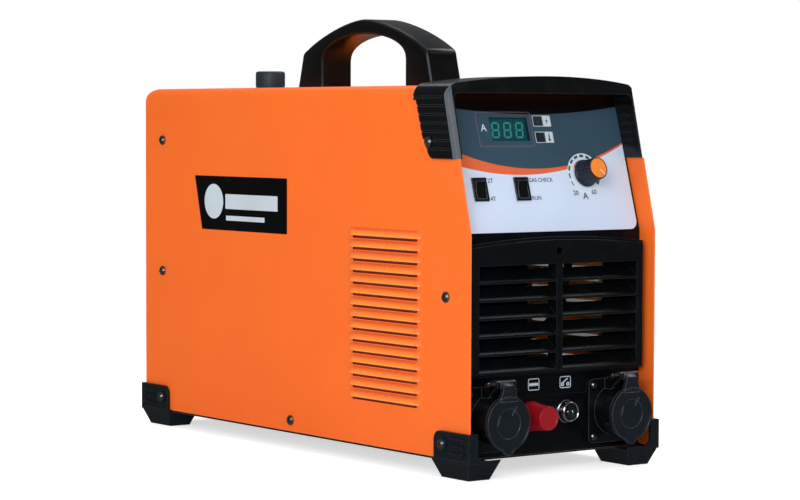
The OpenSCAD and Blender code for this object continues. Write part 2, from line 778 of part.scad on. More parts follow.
module rear_panel() color([0.1, 0.1, 0.105]) in_case() difference() {
  intersection() {
    union() {
      translate([-tray_half, rear_y - tray_sheet, tray_top + seat])
        cube([2 * tray_half, tray_sheet, rear_top_z - tray_top - seat]);
      translate([-tray_half, rear_y - rear_flange, rear_top_z - tray_sheet])
        cube([2 * tray_half, rear_flange, tray_sheet]);
      both_sides() translate([-tray_half, rear_y - screw_setback - 4, flange_top + fit])
        cube([tray_sheet, screw_setback + 4, rear_top_z - flange_top - fit]);
    }
    along_y(-case_l, case_l) cover_outline(cover_sheet + fit);
  }
  on_rear(fan_x, fan_z) {
    rod(fan_bore, -2 * tray_sheet, past);
    corners(guard_hole) rod(screw_r + run, -2 * tray_sheet, past);
  }
  on_rear(power_x, power_z) slab(power_w + 2 * fit, power_l + 2 * fit, -2 * tray_sheet, past);
  on_rear(gland_x, gland_z) rod(gland_thread_r + run, -2 * tray_sheet, past);
  on_rear(reg_x, gauge_z) rod(nipple_r + run, -2 * tray_sheet, past);
  side_holes(screw_r + run);
}
module corners(d) for (x = [-d, d], y = [-d, d]) translate([x, y, 0]) children();

// A foot of the front left corner
module foot() difference() {
  union() {
    intersection() {
      translate([0, case_l, 0]) rotate([90, 0, 0]) linear_extrude(2 * case_l)
        trapezoid(-foot_out - foot_overhang, foot_block_w);
      along_x(-case_w, case_w) trapezoid(-foot_end + foot_overhang, foot_block_l);
    }
    translate([-foot_out, -foot_end, tray_z])
      cube([foot_wall, foot_wall_l + foot_wall, foot_wall_top - tray_z]);
    translate([0, foot_wall - foot_end, 0]) rotate([90, 0, 0]) linear_extrude(foot_wall)
      polygon([[-foot_out, tray_z], [foot_front_w + foot_brace - foot_out, tray_z],
        [foot_front_w - foot_out, tray_z + foot_brace], [foot_front_w - foot_out, foot_wall_top],
        [-foot_out, foot_wall_top]]);
  }
  translate([-case_w / 2 - fit, -case_l / 2 - fit, foot_top_z]) cube([case_w, case_l, case_top]);
  on_side(foot_screw_places[0][0], foot_screw_z) rod(screw_r + run, -past, foot_wall + 2);
  translate([-case_w, foot_wall_l + foot_wall - foot_end - foot_corner_r, foot_wall_top - foot_corner_r])
    difference() {
      cube([case_w, foot_corner_r + past, foot_corner_r + past]);
      rotate([0, 90, 0]) cylinder(r = foot_corner_r, h = case_w);
    }
}
module trapezoid(x0, w) polygon([[x0, foot_block_top], [x0 + w, foot_block_top],
  [x0 + w - foot_taper, 0], [x0 + foot_taper, 0]]);
module foot_at(left, front) color([0.15, 0.17, 0.19]) in_case()
  mirror([left ? 0 : 1, 0, 0]) mirror([0, front ? 0 : 1, 0]) foot();
module foot_front_left() foot_at(true, true);
module foot_front_right() foot_at(false, true);
module foot_rear_left() foot_at(true, false);
module foot_rear_right() foot_at(false, false);

module side_screws() color("silver") in_case() both_sides() {
  for (p = cover_screw_places)
    on_side(p[0], p[1], seat) pan_screw(screw_r, screw_head_r, screw_head_h, screw_len);
  for (p = foot_screw_places) on_side(p[0], p[1], fit + foot_wall + seat)
    pan_screw(screw_r, screw_head_r, screw_head_h, screw_len);
  on_side(visor_screw_place[0], visor_screw_place[1], fit + visor_wall + seat)
    pan_screw(screw_r, screw_head_r, screw_head_h, screw_len);
}

module handle() color([0.13, 0.135, 0.14]) in_case() translate([0, handle_y, 0]) difference() {
  along_x(-handle_w / 2, handle_w / 2) difference() {
    polygon(concat(handle_out, flipped(handle_out)));
    polygon(concat(handle_in, flipped(handle_in)));
  }
  translate([0, -handle_y, 0]) handle_bolts(handle_bolt_r + run, handle_bolt_len + past);
}
// Four bolts up into the handle's legs from inside the cover
module handle_bolt_spots() for (k = [-1, 1], x = [-1, 1])
  translate([x * handle_bolt_gap / 2, handle_y + k * (handle_l - handle_leg) / 2, 0]) children();
module handle_bolts(r, length) handle_bolt_spots() rod(r, case_top - cover_sheet - past, case_top + length);
module handle_screws() color("silver") in_case() handle_bolt_spots() {
  rod(handle_bolt_r, case_top - cover_sheet - seat, case_top + handle_bolt_len);
  hexagon(2 * handle_bolt_r, case_top - cover_sheet - seat - 4, case_top - cover_sheet - seat);
}

module display_module() color([0.12, 0.13, 0.13]) in_case() on_slope(window_x, window_s) {
  slab(window_w + 6, window_h + 6, board_w + board_t + seat, -panel_wall - fit);
  for (k = [-1, 0, 1]) translate([k * digit_pitch, 0, 0])
    slab(digit_w, digit_h, -panel_wall - fit, -panel_wall + fit);
}
module display_lens() color([0.1, 0.35, 0.36, 0.6]) in_case() on_slope(window_x, window_s)
  slab(window_w - fit, window_h - fit, overlay_t - light_lens_t, overlay_t);
module indicator_lamps() color([0.85, 0.9, 0.9]) in_case() for (s = lamp_rows) on_slope(lamp_x, s) {
  slab(lamp_size - fit, lamp_size - fit, overlay_t - light_lens_t, overlay_t);
  rod(1.5, board_w + board_t + seat, overlay_t - light_lens_t);
}

module switch_housings() color([0.04, 0.04, 0.045]) in_case()
  for (x = [rocker_x1, rocker_x2]) on_slope(x, rocker_s) difference() {
    union() {
      slab(bezel_w, bezel_l, face_w, face_w + bezel_t);
      slab(switch_body_w, switch_body_l, -switch_depth, face_w + past / 2);
      for (y = [-6, 0, 6]) translate([0, y, 0]) slab(4, 0.8, -switch_depth - 5, -switch_depth);
    }
    slab(rocker_w + 2 * fit, rocker_l + 1.3, -9, face_w + bezel_t + past);
    translate([-switch_body_w, 0, rocker_pivot_w]) rotate([0, 90, 0])
      translate([0, 0, switch_body_w / 2 + 0.3]) cylinder(r = rocker_pin_r + run, h = switch_body_w - 0.6);
  }
// A rocker pressed at its lower end; its outline is across its pivot
module rocker(width, length, end_w, pin_r, pivot_w, tilt, pin_len)
  translate([0, 0, pivot_w]) rotate([tilt, 0, 0]) {
  along_x(-width / 2, width / 2) polygon([[-length / 2, end_w - pivot_w], [0, end_w - pivot_w - length / 14],
    [length / 2, end_w - pivot_w], [length / 2 - 0.4, -1.5], [length / 4, -4], [-length / 4, -4],
    [-length / 2 + 0.4, -1.5]]);
  rotate([0, 90, 0]) translate([0, 0, -pin_len / 2]) cylinder(r = pin_r, h = pin_len);
}
module panel_rocker(x) color([0.05, 0.05, 0.055]) in_case() on_slope(x, rocker_s)
  rocker(rocker_w, rocker_l, rocker_end_w, rocker_pin_r, rocker_pivot_w, rocker_throw, rocker_w + 1.6);
module mode_rocker() panel_rocker(rocker_x1);
module gas_rocker() panel_rocker(rocker_x2);

module potentiometer() color([0.3, 0.32, 0.34]) in_case() on_slope(dial_x, dial_s) difference() {
  union() {
    rod(pot_r, -panel_wall - seat - pot_h, -panel_wall - seat);
    rod(pot_bush_r, -panel_wall - seat - past, face_w + pot_nut_h + past / 2);
    hexagon(pot_bush_r + 1.8, face_w, face_w + pot_nut_h);
  }
  rod(dial_shaft_r + run, -panel_wall - pot_h + 2, knob_h);
}
module dial_shaft() color("silver") in_case() on_slope(dial_x, dial_s)
  rod(dial_shaft_r, -panel_wall - pot_h + 2 + fit, knob_h - 6);
module current_knob() color([0.14, 0.145, 0.15]) in_case() on_slope(dial_x, dial_s) difference() {
  translate([0, 0, overlay_t + knob_gap])
    cylinder(r1 = knob_r, r2 = knob_top_r, h = knob_h - overlay_t - knob_gap);
  rod(dial_shaft_r + run / 2, 0, knob_h - 6 + fit);
  rod(pot_bush_r + 2.4, 0, face_w + pot_nut_h + 1.2);
  rod(knob_top_r - 1 + run, knob_h - knob_cap_h, knob_h + past);
  for (a = [0:360 / knob_flutes:359]) rotate(a) translate([knob_r + 0.4, 0, overlay_t + knob_gap + 3])
    rotate([0, -atan((knob_r - knob_top_r) / knob_h), 0]) cylinder(r = 0.9, h = knob_h);
}
module knob_cap() color([0.95, 0.5, 0.12]) in_case() on_slope(dial_x, dial_s)
  rod(knob_top_r - 1, knob_h - knob_cap_h + seat, knob_h);

// A large socket: flange, collar with the hinge lugs, core with the contact's seat
module large_socket(side) color([0.1, 0.11, 0.12]) in_case()
  on_front(side * socket_x, socket_z) difference() {
  union() {
    rounded(socket_flange, socket_flange, 5, seat, flange_t);
    rod(collar_r, flange_t - past, flange_t + collar_len);
    rod(socket_rear_r, -socket_rear, flange_t);
    both_sides() along_x(-knuckle_half - lug_gap - lug_t, -knuckle_half - lug_gap) hinge_lug();
  }
  difference() {
    rod(collar_in_r, flange_t + collar_len - core_drop, flange_t + collar_len + past);
    rod(core_r, 0, flange_t + collar_len - 1);
  }
  rod(contact_r + run, -socket_rear - past, flange_t + collar_len + past);
  socket_screw_spots() rod(small_r + run, -past, flange_t + past);
  translate([-socket_flange, hinge_z, hinge_w]) rotate([0, 90, 0])
    cylinder(r = flap_pin_r + run, h = 2 * socket_flange);
}
module hinge_lug() polygon(concat([[collar_r - 3, flange_t - past], [socket_flange / 2, flange_t - past],
  [socket_flange / 2, flange_t + 1]], arc(hinge_z, hinge_w, knuckle_r, 10, 170, 8),
  [[collar_r - 3, flange_t + 8]]));
module left_socket() large_socket(-1);
module right_socket() large_socket(1);

// A flap: disc with a finger tab below and an arm up to its knuckle
module flap(side) color([0.16, 0.19, 0.21]) in_case() on_front(side * socket_x, socket_z) difference() {
  union() {
    translate([0, -flap_drop, 0]) rod(flap_r, flap_w, flap_w + flap_t);
    translate([0, 0, flap_w]) linear_extrude(flap_t) polygon([[-flap_r * 0.62, -flap_drop - flap_r * 0.78],
      [-4, -flap_tab_z], [4, -flap_tab_z], [flap_r * 0.62, -flap_drop - flap_r * 0.78]]);
    translate([0, 0, flap_w]) linear_extrude(flap_t) polygon([[-flap_r * 0.4, flap_r * 0.8],
      [-knuckle_half, hinge_z - knuckle_r], [-knuckle_half, hinge_z], [knuckle_half, hinge_z],
      [knuckle_half, hinge_z - knuckle_r], [flap_r * 0.4, flap_r * 0.8]]);
    translate([-knuckle_half, hinge_z, hinge_w]) rotate([0, 90, 0])
      cylinder(r = knuckle_r, h = 2 * knuckle_half);
    along_x(-knuckle_half, knuckle_half) polygon([[hinge_z - knuckle_r, hinge_w],
      [hinge_z + knuckle_r, hinge_w], [hinge_z, flap_w + flap_t], [hinge_z - knuckle_r, flap_w + flap_t]]);
  }
  translate([0, -flap_drop, 0]) rod(flap_r - flap_rim, flap_w + flap_t - flap_dish, flap_w + flap_t + past);
  translate([-socket_flange, hinge_z, hinge_w]) rotate([0, 90, 0])
    cylinder(r = flap_pin_r + run, h = 2 * socket_flange);
}
module left_flap() flap(-1);
module right_flap() flap(1);
module at_hinges() for (side = [-1, 1]) on_front(side * socket_x, socket_z)
  translate([0, hinge_z, hinge_w]) rotate([0, 90, 0]) children();
module flap_pins() color("silver") in_case() at_hinges() {
  rod(flap_pin_r, -pin_half, knuckle_half + lug_gap + lug_t + 1);
  rod(flap_pin_r + 0.7, -pin_half - 1, -pin_half);
}

// A torsion spring on each hinge pin: one unbroken tube of six sides
function spring_point(t) = [spring_r * cos(360 * t), spring_r * sin(360 * t),
  spring_wire + (spring_len - 2 * spring_wire) * t / spring_turns];
spring_steps = 8 * spring_turns;
spring_path = [for (i = [0:spring_steps]) spring_point(i / 8)];
module swept(path, r, sides) {
  last = len(path) - 1;
  rings = [for (i = [0:last]) let(
      d = unit(path[min(i + 1, last)] - path[max(i - 1, 0)]),
      across = unit(cross(d, abs(d[2]) < 0.9 ? [0, 0, 1] : [1, 0, 0])),
      up = cross(across, d))
    for (k = [0:sides - 1]) path[i] + r * (cos(360 * k / sides) * across + sin(360 * k / sides) * up)];
  polyhedron(rings, concat(
    [[for (k = [0:sides - 1]) k]], [[for (k = [sides - 1:-1:0]) last * sides + k]],
    [for (i = [0:last - 1], k = [0:sides - 1]) let(n = (k + 1) % sides)
      [i * sides + k, (i + 1) * sides + k, (i + 1) * sides + n]],
    [for (i = [0:last - 1], k = [0:sides - 1]) let(n = (k + 1) % sides)
      [i * sides + k, (i + 1) * sides + n, i * sides + n]]));
}
module flap_springs() color("silver") in_case() at_hinges()
  translate([0, 0, -knuckle_half - lug_gap - lug_t - spring_len]) swept(spring_path, spring_wire, 6);
echo("least gap between the spring's turns", (spring_len - 2 * spring_wire) / spring_turns - 2 * spring_wire);

module front_screws() color("silver") in_case() {
  both_sides() on_front(socket_x, socket_z, flange_t + seat) socket_screw_spots()
    pan_screw(small_r, small_head_r, small_head_h, flange_t + panel_wall + 3);
  on_front(0, panel_screw_z, 3 + seat) pan_screw(small_r, small_head_r, small_head_h, panel_wall + 6);
}
module socket_contacts() color([0.8, 0.65, 0.3]) in_case()
  both_sides() on_front(socket_x, socket_z) difference() {
  union() {
    rod(contact_r, flange_t + collar_len - 4 - contact_len, flange_t + collar_len - 4);
    rod(5, flange_t + collar_len - 4 - contact_len - 12, flange_t + collar_len - contact_len);
  }
  rod(contact_bore_r, flange_t + collar_len - 4 - contact_len + 6, flange_t + collar_len);
  translate([0, contact_bore_r, 0]) slab(4, 5, flange_t + collar_len - 20, flange_t + collar_len);
}

module torch_connector() color([0.8, 0.65, 0.3]) in_case() on_front(torch_x, socket_z) difference() {
  union() {
    rod(torch_r + 3, seat, torch_cap_base - fit);
    rod(torch_r, -panel_wall - 6, torch_stub);
    hexagon(torch_nut_r, -panel_wall - seat - 4, -panel_wall - seat);
    rod(hose_r - 1 - run, -panel_wall - torch_barb, -panel_wall - 5);
  }
  rod(1.5, -panel_wall - torch_barb - past, torch_stub + past);
}
module torch_cap() color([0.75, 0.06, 0.1]) in_case() on_front(torch_x, socket_z) difference() {
  translate([0, 0, torch_cap_base]) cylinder(r1 = cap_skirt_r, r2 = cap_tip_r, h = torch_cap_len);
  rod(torch_r + run, 0, torch_stub + fit);
}
module signal_socket() color([0.78, 0.79, 0.8]) in_case() on_front(signal_x, signal_z) {
  difference() {
    union() {
      rod(signal_r, seat, signal_len);
      hexagon(signal_r + 2.2, seat, 2.6);
      rod(signal_r - signal_wall - run, -panel_wall - 12, 1);
    }
    rod(signal_r - signal_wall, 3, signal_len + past);
  }
  for (x = [-2.6, 2.6]) translate([x, 0, 0]) rod(0.9, 2, signal_len - 1);
}

module control_board() color([0.1, 0.35, 0.2]) in_case() on_slope(0, 0) difference() {
  translate([-board_half, board_s0, board_w]) cube([2 * board_half, board_s1 - board_s0, board_t]);
  for (x = [rocker_x1, rocker_x2]) translate([x, rocker_s, 0])
    slab(switch_body_w + 2 * board_gap, switch_body_l + 2 * board_gap, board_w - past, 0);
}
module heat_sinks() color([0.72, 0.73, 0.75]) in_case()
  for (x = [sink_x1, sink_x2]) translate([x, sink_y, 0]) {
    slab(sink_w, sink_l, sink_top - sink_base, sink_top);
    for (k = [0:floor((sink_w - sink_fin) / sink_pitch)])
      translate([k * sink_pitch - sink_w / 2 + sink_fin / 2, 0, 0])
        slab(sink_fin, sink_l, tray_top + seat, sink_top);
  }
module board_standoffs() color([0.8, 0.65, 0.3]) in_case()
  for (x = [sink_x1 - sink_w / 2 + standoff_inset, sink_x2 + sink_w / 2 - standoff_inset], y = [-1, 1])
    translate([x, sink_y + y * (sink_l / 2 - standoff_inset), 0])
      hexagon(boss_r, sink_top + seat, main_z - seat);
module main_board() color([0.1, 0.32, 0.18]) in_case() translate([sink_mid, sink_y, 0]) {
  slab(main_w, main_l, main_z, main_z + board_t);
  for (k = [-2.5:1:2.5], x = [-1, 1]) translate([x * device_x, k * 4 * device_l, 0])
    slab(device_w, device_l, main_z + board_t / 2, main_z + device_h);
}
module capacitors() color([0.12, 0.14, 0.3]) in_case() for (x = [-1, 1], y = [-1, 1])
  translate([sink_mid + x * cap_x, cap_middle + y * cap_y, main_z + board_t + seat])
    rod(cap_r, 0, cap_h);
module transformer() color([0.2, 0.2, 0.21]) in_case()
  translate([coil_x, transformer_y, tray_top + seat]) {
    slab(core_w, core_l, 0, core_bar);
    slab(core_w, core_l, core_h - core_bar, core_h);
    for (y = [-1, 1]) translate([0, y * (core_l - core_bar) / 2, 0]) slab(core_w, core_bar, 0, core_h);
    slab(winding_w, core_l - 2 * core_bar - 4, core_bar - 2, core_h - core_bar + 2);
  }
module choke() color([0.72, 0.4, 0.18]) in_case() translate([coil_x, choke_y, tray_top + seat]) {
  rotate_extrude() translate([choke_r - choke_wire - seat, choke_wire + seat]) circle(r = choke_wire);
  rod(choke_r - 1.7 * choke_wire, 0, 2);
}

module fan_frame() color([0.06, 0.06, 0.065]) in_case()
  on_rear(fan_x, fan_z, fan_y1 - rear_y) difference() {
  union() {
    difference() {
      rounded(fan_size, fan_size, 6, -fan_depth, 0);
      rod(fan_bore, -fan_depth - past, past);
      corners(guard_hole) rod(screw_r + run, -fan_depth - past, past);
    }
    rod(fan_hub_r, -fan_depth, strut_t - fan_depth);
    for (a = [45:90:315]) rotate(a) translate([fan_bore / 2 + 5, 0, 0])
      slab(fan_bore, 5, -fan_depth, strut_t - fan_depth);
  }
  rod(fan_axle_r + run, -fan_depth - past, strut_t - fan_depth + past);
}
module fan_rotor() color([0.1, 0.1, 0.105]) in_case() on_rear(fan_x, fan_z, fan_y1 - rear_y) {
  rod(fan_axle_r, -fan_depth, -4);
  rod(fan_hub_r, strut_t - fan_depth + 0.5, -3);
  intersection() {
    tube(fan_bore - fan_tip_gap, fan_hub_r - past, strut_t - fan_depth + 0.5, -3);
    for (k = [0:fan_blades - 1]) rotate(k * 360 / fan_blades) translate([fan_bore / 2, 0, -fan_depth / 2])
      rotate([52, 0, 0]) slab(fan_bore + 10, 34, -1, 1);
  }
}
module fan_guard() color([0.62, 0.63, 0.65]) in_case() on_rear(fan_x, fan_z, seat) {
  for (k = [1:guard_rings]) rotate_extrude() translate([k * guard_pitch + 1, 3 * guard_wire])
    circle(r = guard_wire, $fn = 16);
  for (a = [45, 135]) rotate(a) translate([-guard_hole * sqrt(2), 0, 1.4 * guard_wire]) rotate([0, 90, 0])
    cylinder(r = guard_wire, h = 2 * guard_hole * sqrt(2), $fn = 16);
  corners(guard_hole) {
    tube(5, screw_r + run, 0, 2 * guard_wire);
    tube(screw_r + 1.2, screw_r - run, 2 * guard_wire, 2 * guard_wire + 1.5);
  }
}

module power_switch() color([0.05, 0.05, 0.055]) in_case() on_rear(power_x, power_z) difference() {
  union() {
    slab(power_w + 4, power_l + 4, seat, 2);
    slab(power_w, power_l, -power_depth, 1);
    for (x = [-5, 5], y = [-8, 8]) translate([x, y, 0]) slab(0.8, 6.3, -power_depth - 9, -power_depth);
  }
  slab(power_w - 4, power_l - 4, -12, 2 + past);
  translate([-power_w / 2 + 0.4, 0, -2]) rotate([0, 90, 0]) cylinder(r = 1.6 + run, h = power_w - 0.8);
}
module power_rocker() color([0.7, 0.08, 0.06]) in_case() on_rear(power_x, power_z)
  rocker(power_w - 4 - 2 * fit, power_l - 4 - 1.6, 3.8, 1.6, -2, -rocker_throw, power_w - 2);
module cord_gland() color([0.07, 0.07, 0.075]) in_case() on_rear(gland_x, gland_z) difference() {
  union() {
    rod(gland_thread_r, -tray_sheet - 12, past);
    hexagon(gland_hex_r, seat, 8);
    rod(gland_hex_r - 2, 7, 10);
    translate([0, 0, 10]) cylinder(r1 = gland_hex_r - 1, r2 = gland_bore_r + 3, h = 14);
    hexagon(gland_hex_r, -tray_sheet - seat - 5, -tray_sheet - seat);
  }
  rod(gland_bore_r, -tray_sheet - 13, 25);
}

module regulator_bracket() color([0.62, 0.63, 0.65]) in_case() difference() {
  union() {
    translate([reg_x - bracket_w / 2, rear_y + seat, reg_top - bracket_drop])
      cube([bracket_w, bracket_t, bracket_drop + bracket_t]);
    translate([reg_x - bracket_w / 2, rear_y + seat, reg_top + seat])
      cube([bracket_w, reg_back + bonnet_r + 2, bracket_t]);
  }
  translate([reg_x, reg_y, 0]) rod(bonnet_r + run, reg_top - past, reg_top + bracket_t + past);
  on_rear(reg_x, gauge_z) rod(nipple_r + 3, -past, bracket_t + past);
}
module regulator_body() color([0.2, 0.21, 0.22]) in_case() difference() {
  translate([reg_x, reg_y, 0]) {
    rounded(reg_size, reg_size, 4, reg_top - reg_h, reg_top);
    rod(bonnet_r, reg_top - past, reg_top + bonnet_h);
  }
  translate([reg_x, reg_y, 0]) rod(reg_stem_r + run, reg_top - 6, reg_top + bonnet_h + past);
}
module regulator_bowl() color([0.75, 0.8, 0.82, 0.45]) in_case()
  translate([reg_x, reg_y, bowl_z]) difference() {
    rod(bowl_r, 0, bowl_h);
    rod(bowl_r - bowl_wall, 3 * bowl_wall, bowl_h + past);
    rod(drain_r + run, -past, 3 * bowl_wall + past);
  }
module drain_valve() color([0.8, 0.65, 0.3]) in_case() translate([reg_x, reg_y, bowl_z]) {
  rod(drain_r, -4, 3 * bowl_wall);
  hexagon(drain_r + 3, -10, -fit);
}
module regulator_stem() color("silver") in_case() translate([reg_x, reg_y, 0])
  rod(reg_stem_r, reg_top - 5, reg_knob_top - 8);
module regulator_knob() color([0.05, 0.05, 0.055]) in_case() translate([reg_x, reg_y, 0]) difference() {
  rod(reg_knob_r, knob_low, reg_knob_top);
  rod(bonnet_r + fit, knob_low - past, reg_knob_top - 18);
  rod(reg_stem_r + run, knob_low, reg_knob_top - 4);
  for (a = [0:15:359]) rotate(a) translate([reg_knob_r + 0.5, 0, knob_low + 4])
    cylinder(r = 1.2, h = case_top - knob_low - 8);
}
module at_gauge() on_rear(reg_x, gauge_z, reg_back + reg_size / 2 + gauge_neck) children();
module gauge_body() color([0.12, 0.12, 0.125]) in_case() at_gauge() {
  difference() {
    rod(gauge_r, 0, gauge_depth);
    rod(gauge_r - gauge_wall, gauge_depth - 7, gauge_depth + past);
  }
  rod(5, -gauge_neck + seat, 1);
  rod(needle_r - run, gauge_depth - 8, gauge_depth - 3);
}
module gauge_needle() color([0.85, 0.1, 0.08]) in_case() at_gauge() rotate(225) difference() {
  union() {
    rod(2.4, gauge_depth - 5, gauge_depth - 4);
    translate([-3, -0.6, gauge_depth - 5]) cube([needle_len + 3, 1.2, 0.6]);
  }
  rod(needle_r, gauge_depth - 9, gauge_depth);
}
module gauge_lens() color([0.85, 0.9, 0.92, 0.3]) in_case() at_gauge()
  rod(gauge_r - gauge_wall - run, gauge_depth - 2 * lens_t + fit, gauge_depth - lens_t + fit);
module inlet_fitting() color([0.8, 0.65, 0.3]) in_case()
  translate([reg_x - reg_size / 2 - seat, reg_y, gauge_z]) rotate([0, -90, 0]) difference() {
    union() {
      hexagon(9, 0, 8);
      rod(barb_r, 7, barb_end);
      for (k = [0:2]) translate([0, 0, 10 + 5 * k]) cylinder(r1 = barb_r + 0.6, r2 = barb_r, h = 4);
    }
    rod(barb_r - 1.5, -past, barb_end + past);
  }
module solenoid_valve() color([0.75, 0.62, 0.3]) in_case() difference() {
  union() {
    translate([reg_x, valve_y1 - valve_size / 2, gauge_z])
      slab(valve_size, valve_size, -valve_half_h, valve_half_h);
    translate([reg_x, valve_y1 - valve_size / 2, gauge_z + valve_half_h])
      slab(valve_coil_w, valve_coil_l, 0, valve_coil_h);
    on_rear(reg_x, gauge_z) rod(nipple_r, valve_y1 - rear_y - past, reg_back - reg_size / 2 - seat);
    on_rear(reg_x, gauge_z) hexagon(nipple_r + 4, -tray_sheet - seat - 4, -tray_sheet - seat);
    on_rear(reg_x, gauge_z, valve_y1 - rear_y - valve_size) rod(hose_r - 1 - run, -nozzle_len, past);
  }
  on_rear(reg_x, gauge_z) rod(1.5, valve_y1 - rear_y - valve_size - nozzle_len - past, reg_back);
}

// The air hose runs from the valve along the right side and down to the torch connector
hose_y0 = valve_y1 - valve_size - seat;
hose_y1 = front_y + panel_wall + 6 + 2 * seat;
hose_x = tray_half - 14.5;
hose_route = [[reg_x, hose_y0, gauge_z], [reg_x, hose_y0 - 20, gauge_z], [hose_x, 130, gauge_z],
  [hose_x, -120, gauge_z], [hose_x - 2, -170, 220], [hose_x - 26, -190, 125],
  [torch_x + 10, -196, 105], [torch_x, -196, 75], [torch_x, hose_y1 + 24, socket_z + 6],
  [torch_x, hose_y1 + 12, socket_z], [torch_x, hose_y1, socket_z]];
function smoothed(p, n) = n == 0 ? p : smoothed(concat([p[0]],
  [for (i = [0:len(p) - 2]) each [0.75 * p[i] + 0.25 * p[i + 1], 0.25 * p[i] + 0.75 * p[i + 1]]],
  [p[len(p) - 1]]), n - 1);
module air_hose() color([0.06, 0.065, 0.07]) in_case() difference() {
  swept(smoothed(hose_route, 2), hose_r, 10);
  on_rear(reg_x, gauge_z) rod(hose_r - 1, valve_y1 - rear_y - valve_size - nozzle_len - 0.5, past);
  on_front(torch_x, socket_z) rod(hose_r - 1, -panel_wall - torch_barb - past / 2, past);
}

base_tray();
outer_cover();
front_panel();
front_grille();
control_overlay();
visor();
rear_panel();
foot_front_left();
foot_front_right();
foot_rear_left();
foot_rear_right();
side_screws();
handle();
handle_screws();
display_module();
display_lens();
indicator_lamps();
switch_housings();
mode_rocker();
gas_rocker();
potentiometer();
dial_shaft();
current_knob();
knob_cap();
left_socket();
right_socket();
left_flap();
right_flap();
flap_pins();
flap_springs();
front_screws();
socket_contacts();
torch_connector();
torch_cap();
signal_socket();
control_board();
main_board();
board_standoffs();
capacitors();
heat_sinks();
transformer();
choke();
fan_frame();
fan_rotor();
fan_guard();
solenoid_valve();
air_hose();
power_switch();
power_rocker();
cord_gland();
regulator_bracket();
regulator_body();
regulator_bowl();
drain_valve();
regulator_stem();
regulator_knob();
gauge_body();
gauge_needle();
gauge_lens();
inlet_fitting();
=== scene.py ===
# %% [markdown]
# A portable plasma cutter: a folded sheet steel case with a moulded front, a visor over a
# printed control slope, an arched handle and four feet. The CAD frame holds every piece at
# its real size. This lesson dresses it: each visible piece gets soft edges and small forms
# from bmesh operators, and each finish is a small network of shader nodes.

# %% The frame
import json
import math
from math import cos, pi, radians, sin, tan

import bmesh
import bpy
from mathutils import Matrix, Vector


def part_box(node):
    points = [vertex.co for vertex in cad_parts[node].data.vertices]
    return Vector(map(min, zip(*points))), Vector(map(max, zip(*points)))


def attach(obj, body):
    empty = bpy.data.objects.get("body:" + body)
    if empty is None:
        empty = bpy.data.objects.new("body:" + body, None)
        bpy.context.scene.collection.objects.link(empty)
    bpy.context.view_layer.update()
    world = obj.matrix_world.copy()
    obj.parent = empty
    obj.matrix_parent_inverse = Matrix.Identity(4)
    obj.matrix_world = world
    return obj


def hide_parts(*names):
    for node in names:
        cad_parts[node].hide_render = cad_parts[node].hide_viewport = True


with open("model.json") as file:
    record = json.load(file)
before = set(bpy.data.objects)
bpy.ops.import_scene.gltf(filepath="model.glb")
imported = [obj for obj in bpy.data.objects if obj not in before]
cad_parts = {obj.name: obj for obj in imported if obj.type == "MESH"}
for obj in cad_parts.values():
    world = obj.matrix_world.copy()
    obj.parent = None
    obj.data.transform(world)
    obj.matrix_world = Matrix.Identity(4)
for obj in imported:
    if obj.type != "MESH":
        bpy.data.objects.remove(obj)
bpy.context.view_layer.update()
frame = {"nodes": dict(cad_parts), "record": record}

# %% [markdown]
# Lengths are written in millimetres, as on a workshop drawing, and turned into metres when a
# piece is placed. The faces that pieces sit on are read from the frame, so that a piece
# always lies on its real seat. The slope, its lean, the case's width and the louvres are the
# few values that a box alone can't tell.

# %% Faces that carry the pieces
MM = 0.001
CASE_WIDTH = 204
BEND = 10
SLOPE_LEAN = radians(16.5)
SLOPE_FOOT = 206
LOUVRES = {"count": 15, "pitch": 10.16, "top": 200, "length": 98, "rise": 6.4, "out": 2.8,
           "setback": 72.5}


def corners(node):
    """Lowest and highest corner of a CAD node, in millimetres"""
    low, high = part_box(node)
    return low / MM, high / MM


cover_low, cover_high = corners("outer_cover")
middle_y = (cover_low.y + cover_high.y) / 2
front_y = corners("front_panel")[0].y
case_top = cover_high.z
up_slope = Vector((0, sin(SLOPE_LEAN), cos(SLOPE_LEAN)))
off_slope = Vector((0, -cos(SLOPE_LEAN), sin(SLOPE_LEAN)))


def into_scene(name, data):
    made = bpy.data.objects.new(name, data)
    bpy.context.scene.collection.objects.link(made)
    return made


def placed(along, up, origin):
    """A frame whose X runs along, whose Y runs up and whose Z points off the face"""
    along, up = Vector(along), Vector(up)
    turn = Matrix((along, up, along.cross(up))).transposed().to_4x4()
    return Matrix.Translation(Vector(origin) * MM) @ turn @ Matrix.Scale(MM, 4)


def on_front(x, z, off=0):
    return placed((1, 0, 0), (0, 0, 1), (x, front_y - off, z))


def on_slope(x, up, off=0):
    origin = Vector((x, front_y, SLOPE_FOOT)) + up_slope * up + off_slope * off
    return placed((1, 0, 0), up_slope, origin)


def on_left(y, z, off=0):
    return placed((0, -1, 0), (0, 0, 1), (-CASE_WIDTH / 2 - off, middle_y + y, z))


def on_right(y, z, off=0):
    return placed((0, 1, 0), (0, 0, 1), (CASE_WIDTH / 2 + off, middle_y + y, z))


def facing_back(x, y, z):
    return placed((-1, 0, 0), (0, 0, 1), (x, y, z))


def upright(x, y, z):
    return placed((1, 0, 0), (0, 1, 0), (x, y, z))


print("case from", [round(v) for v in cover_low], "to", [round(v) for v in cover_high])

# %% [markdown]
# Shader maths reads best as plain expressions. A small class wraps a node's output socket
# and turns +, -, * and / into Math nodes. Every other node comes from one method, which sets
# the node's own settings first and then its input sockets. Colours and vectors go through
# Mix and Vector Math, because a Math node would turn a colour grey.


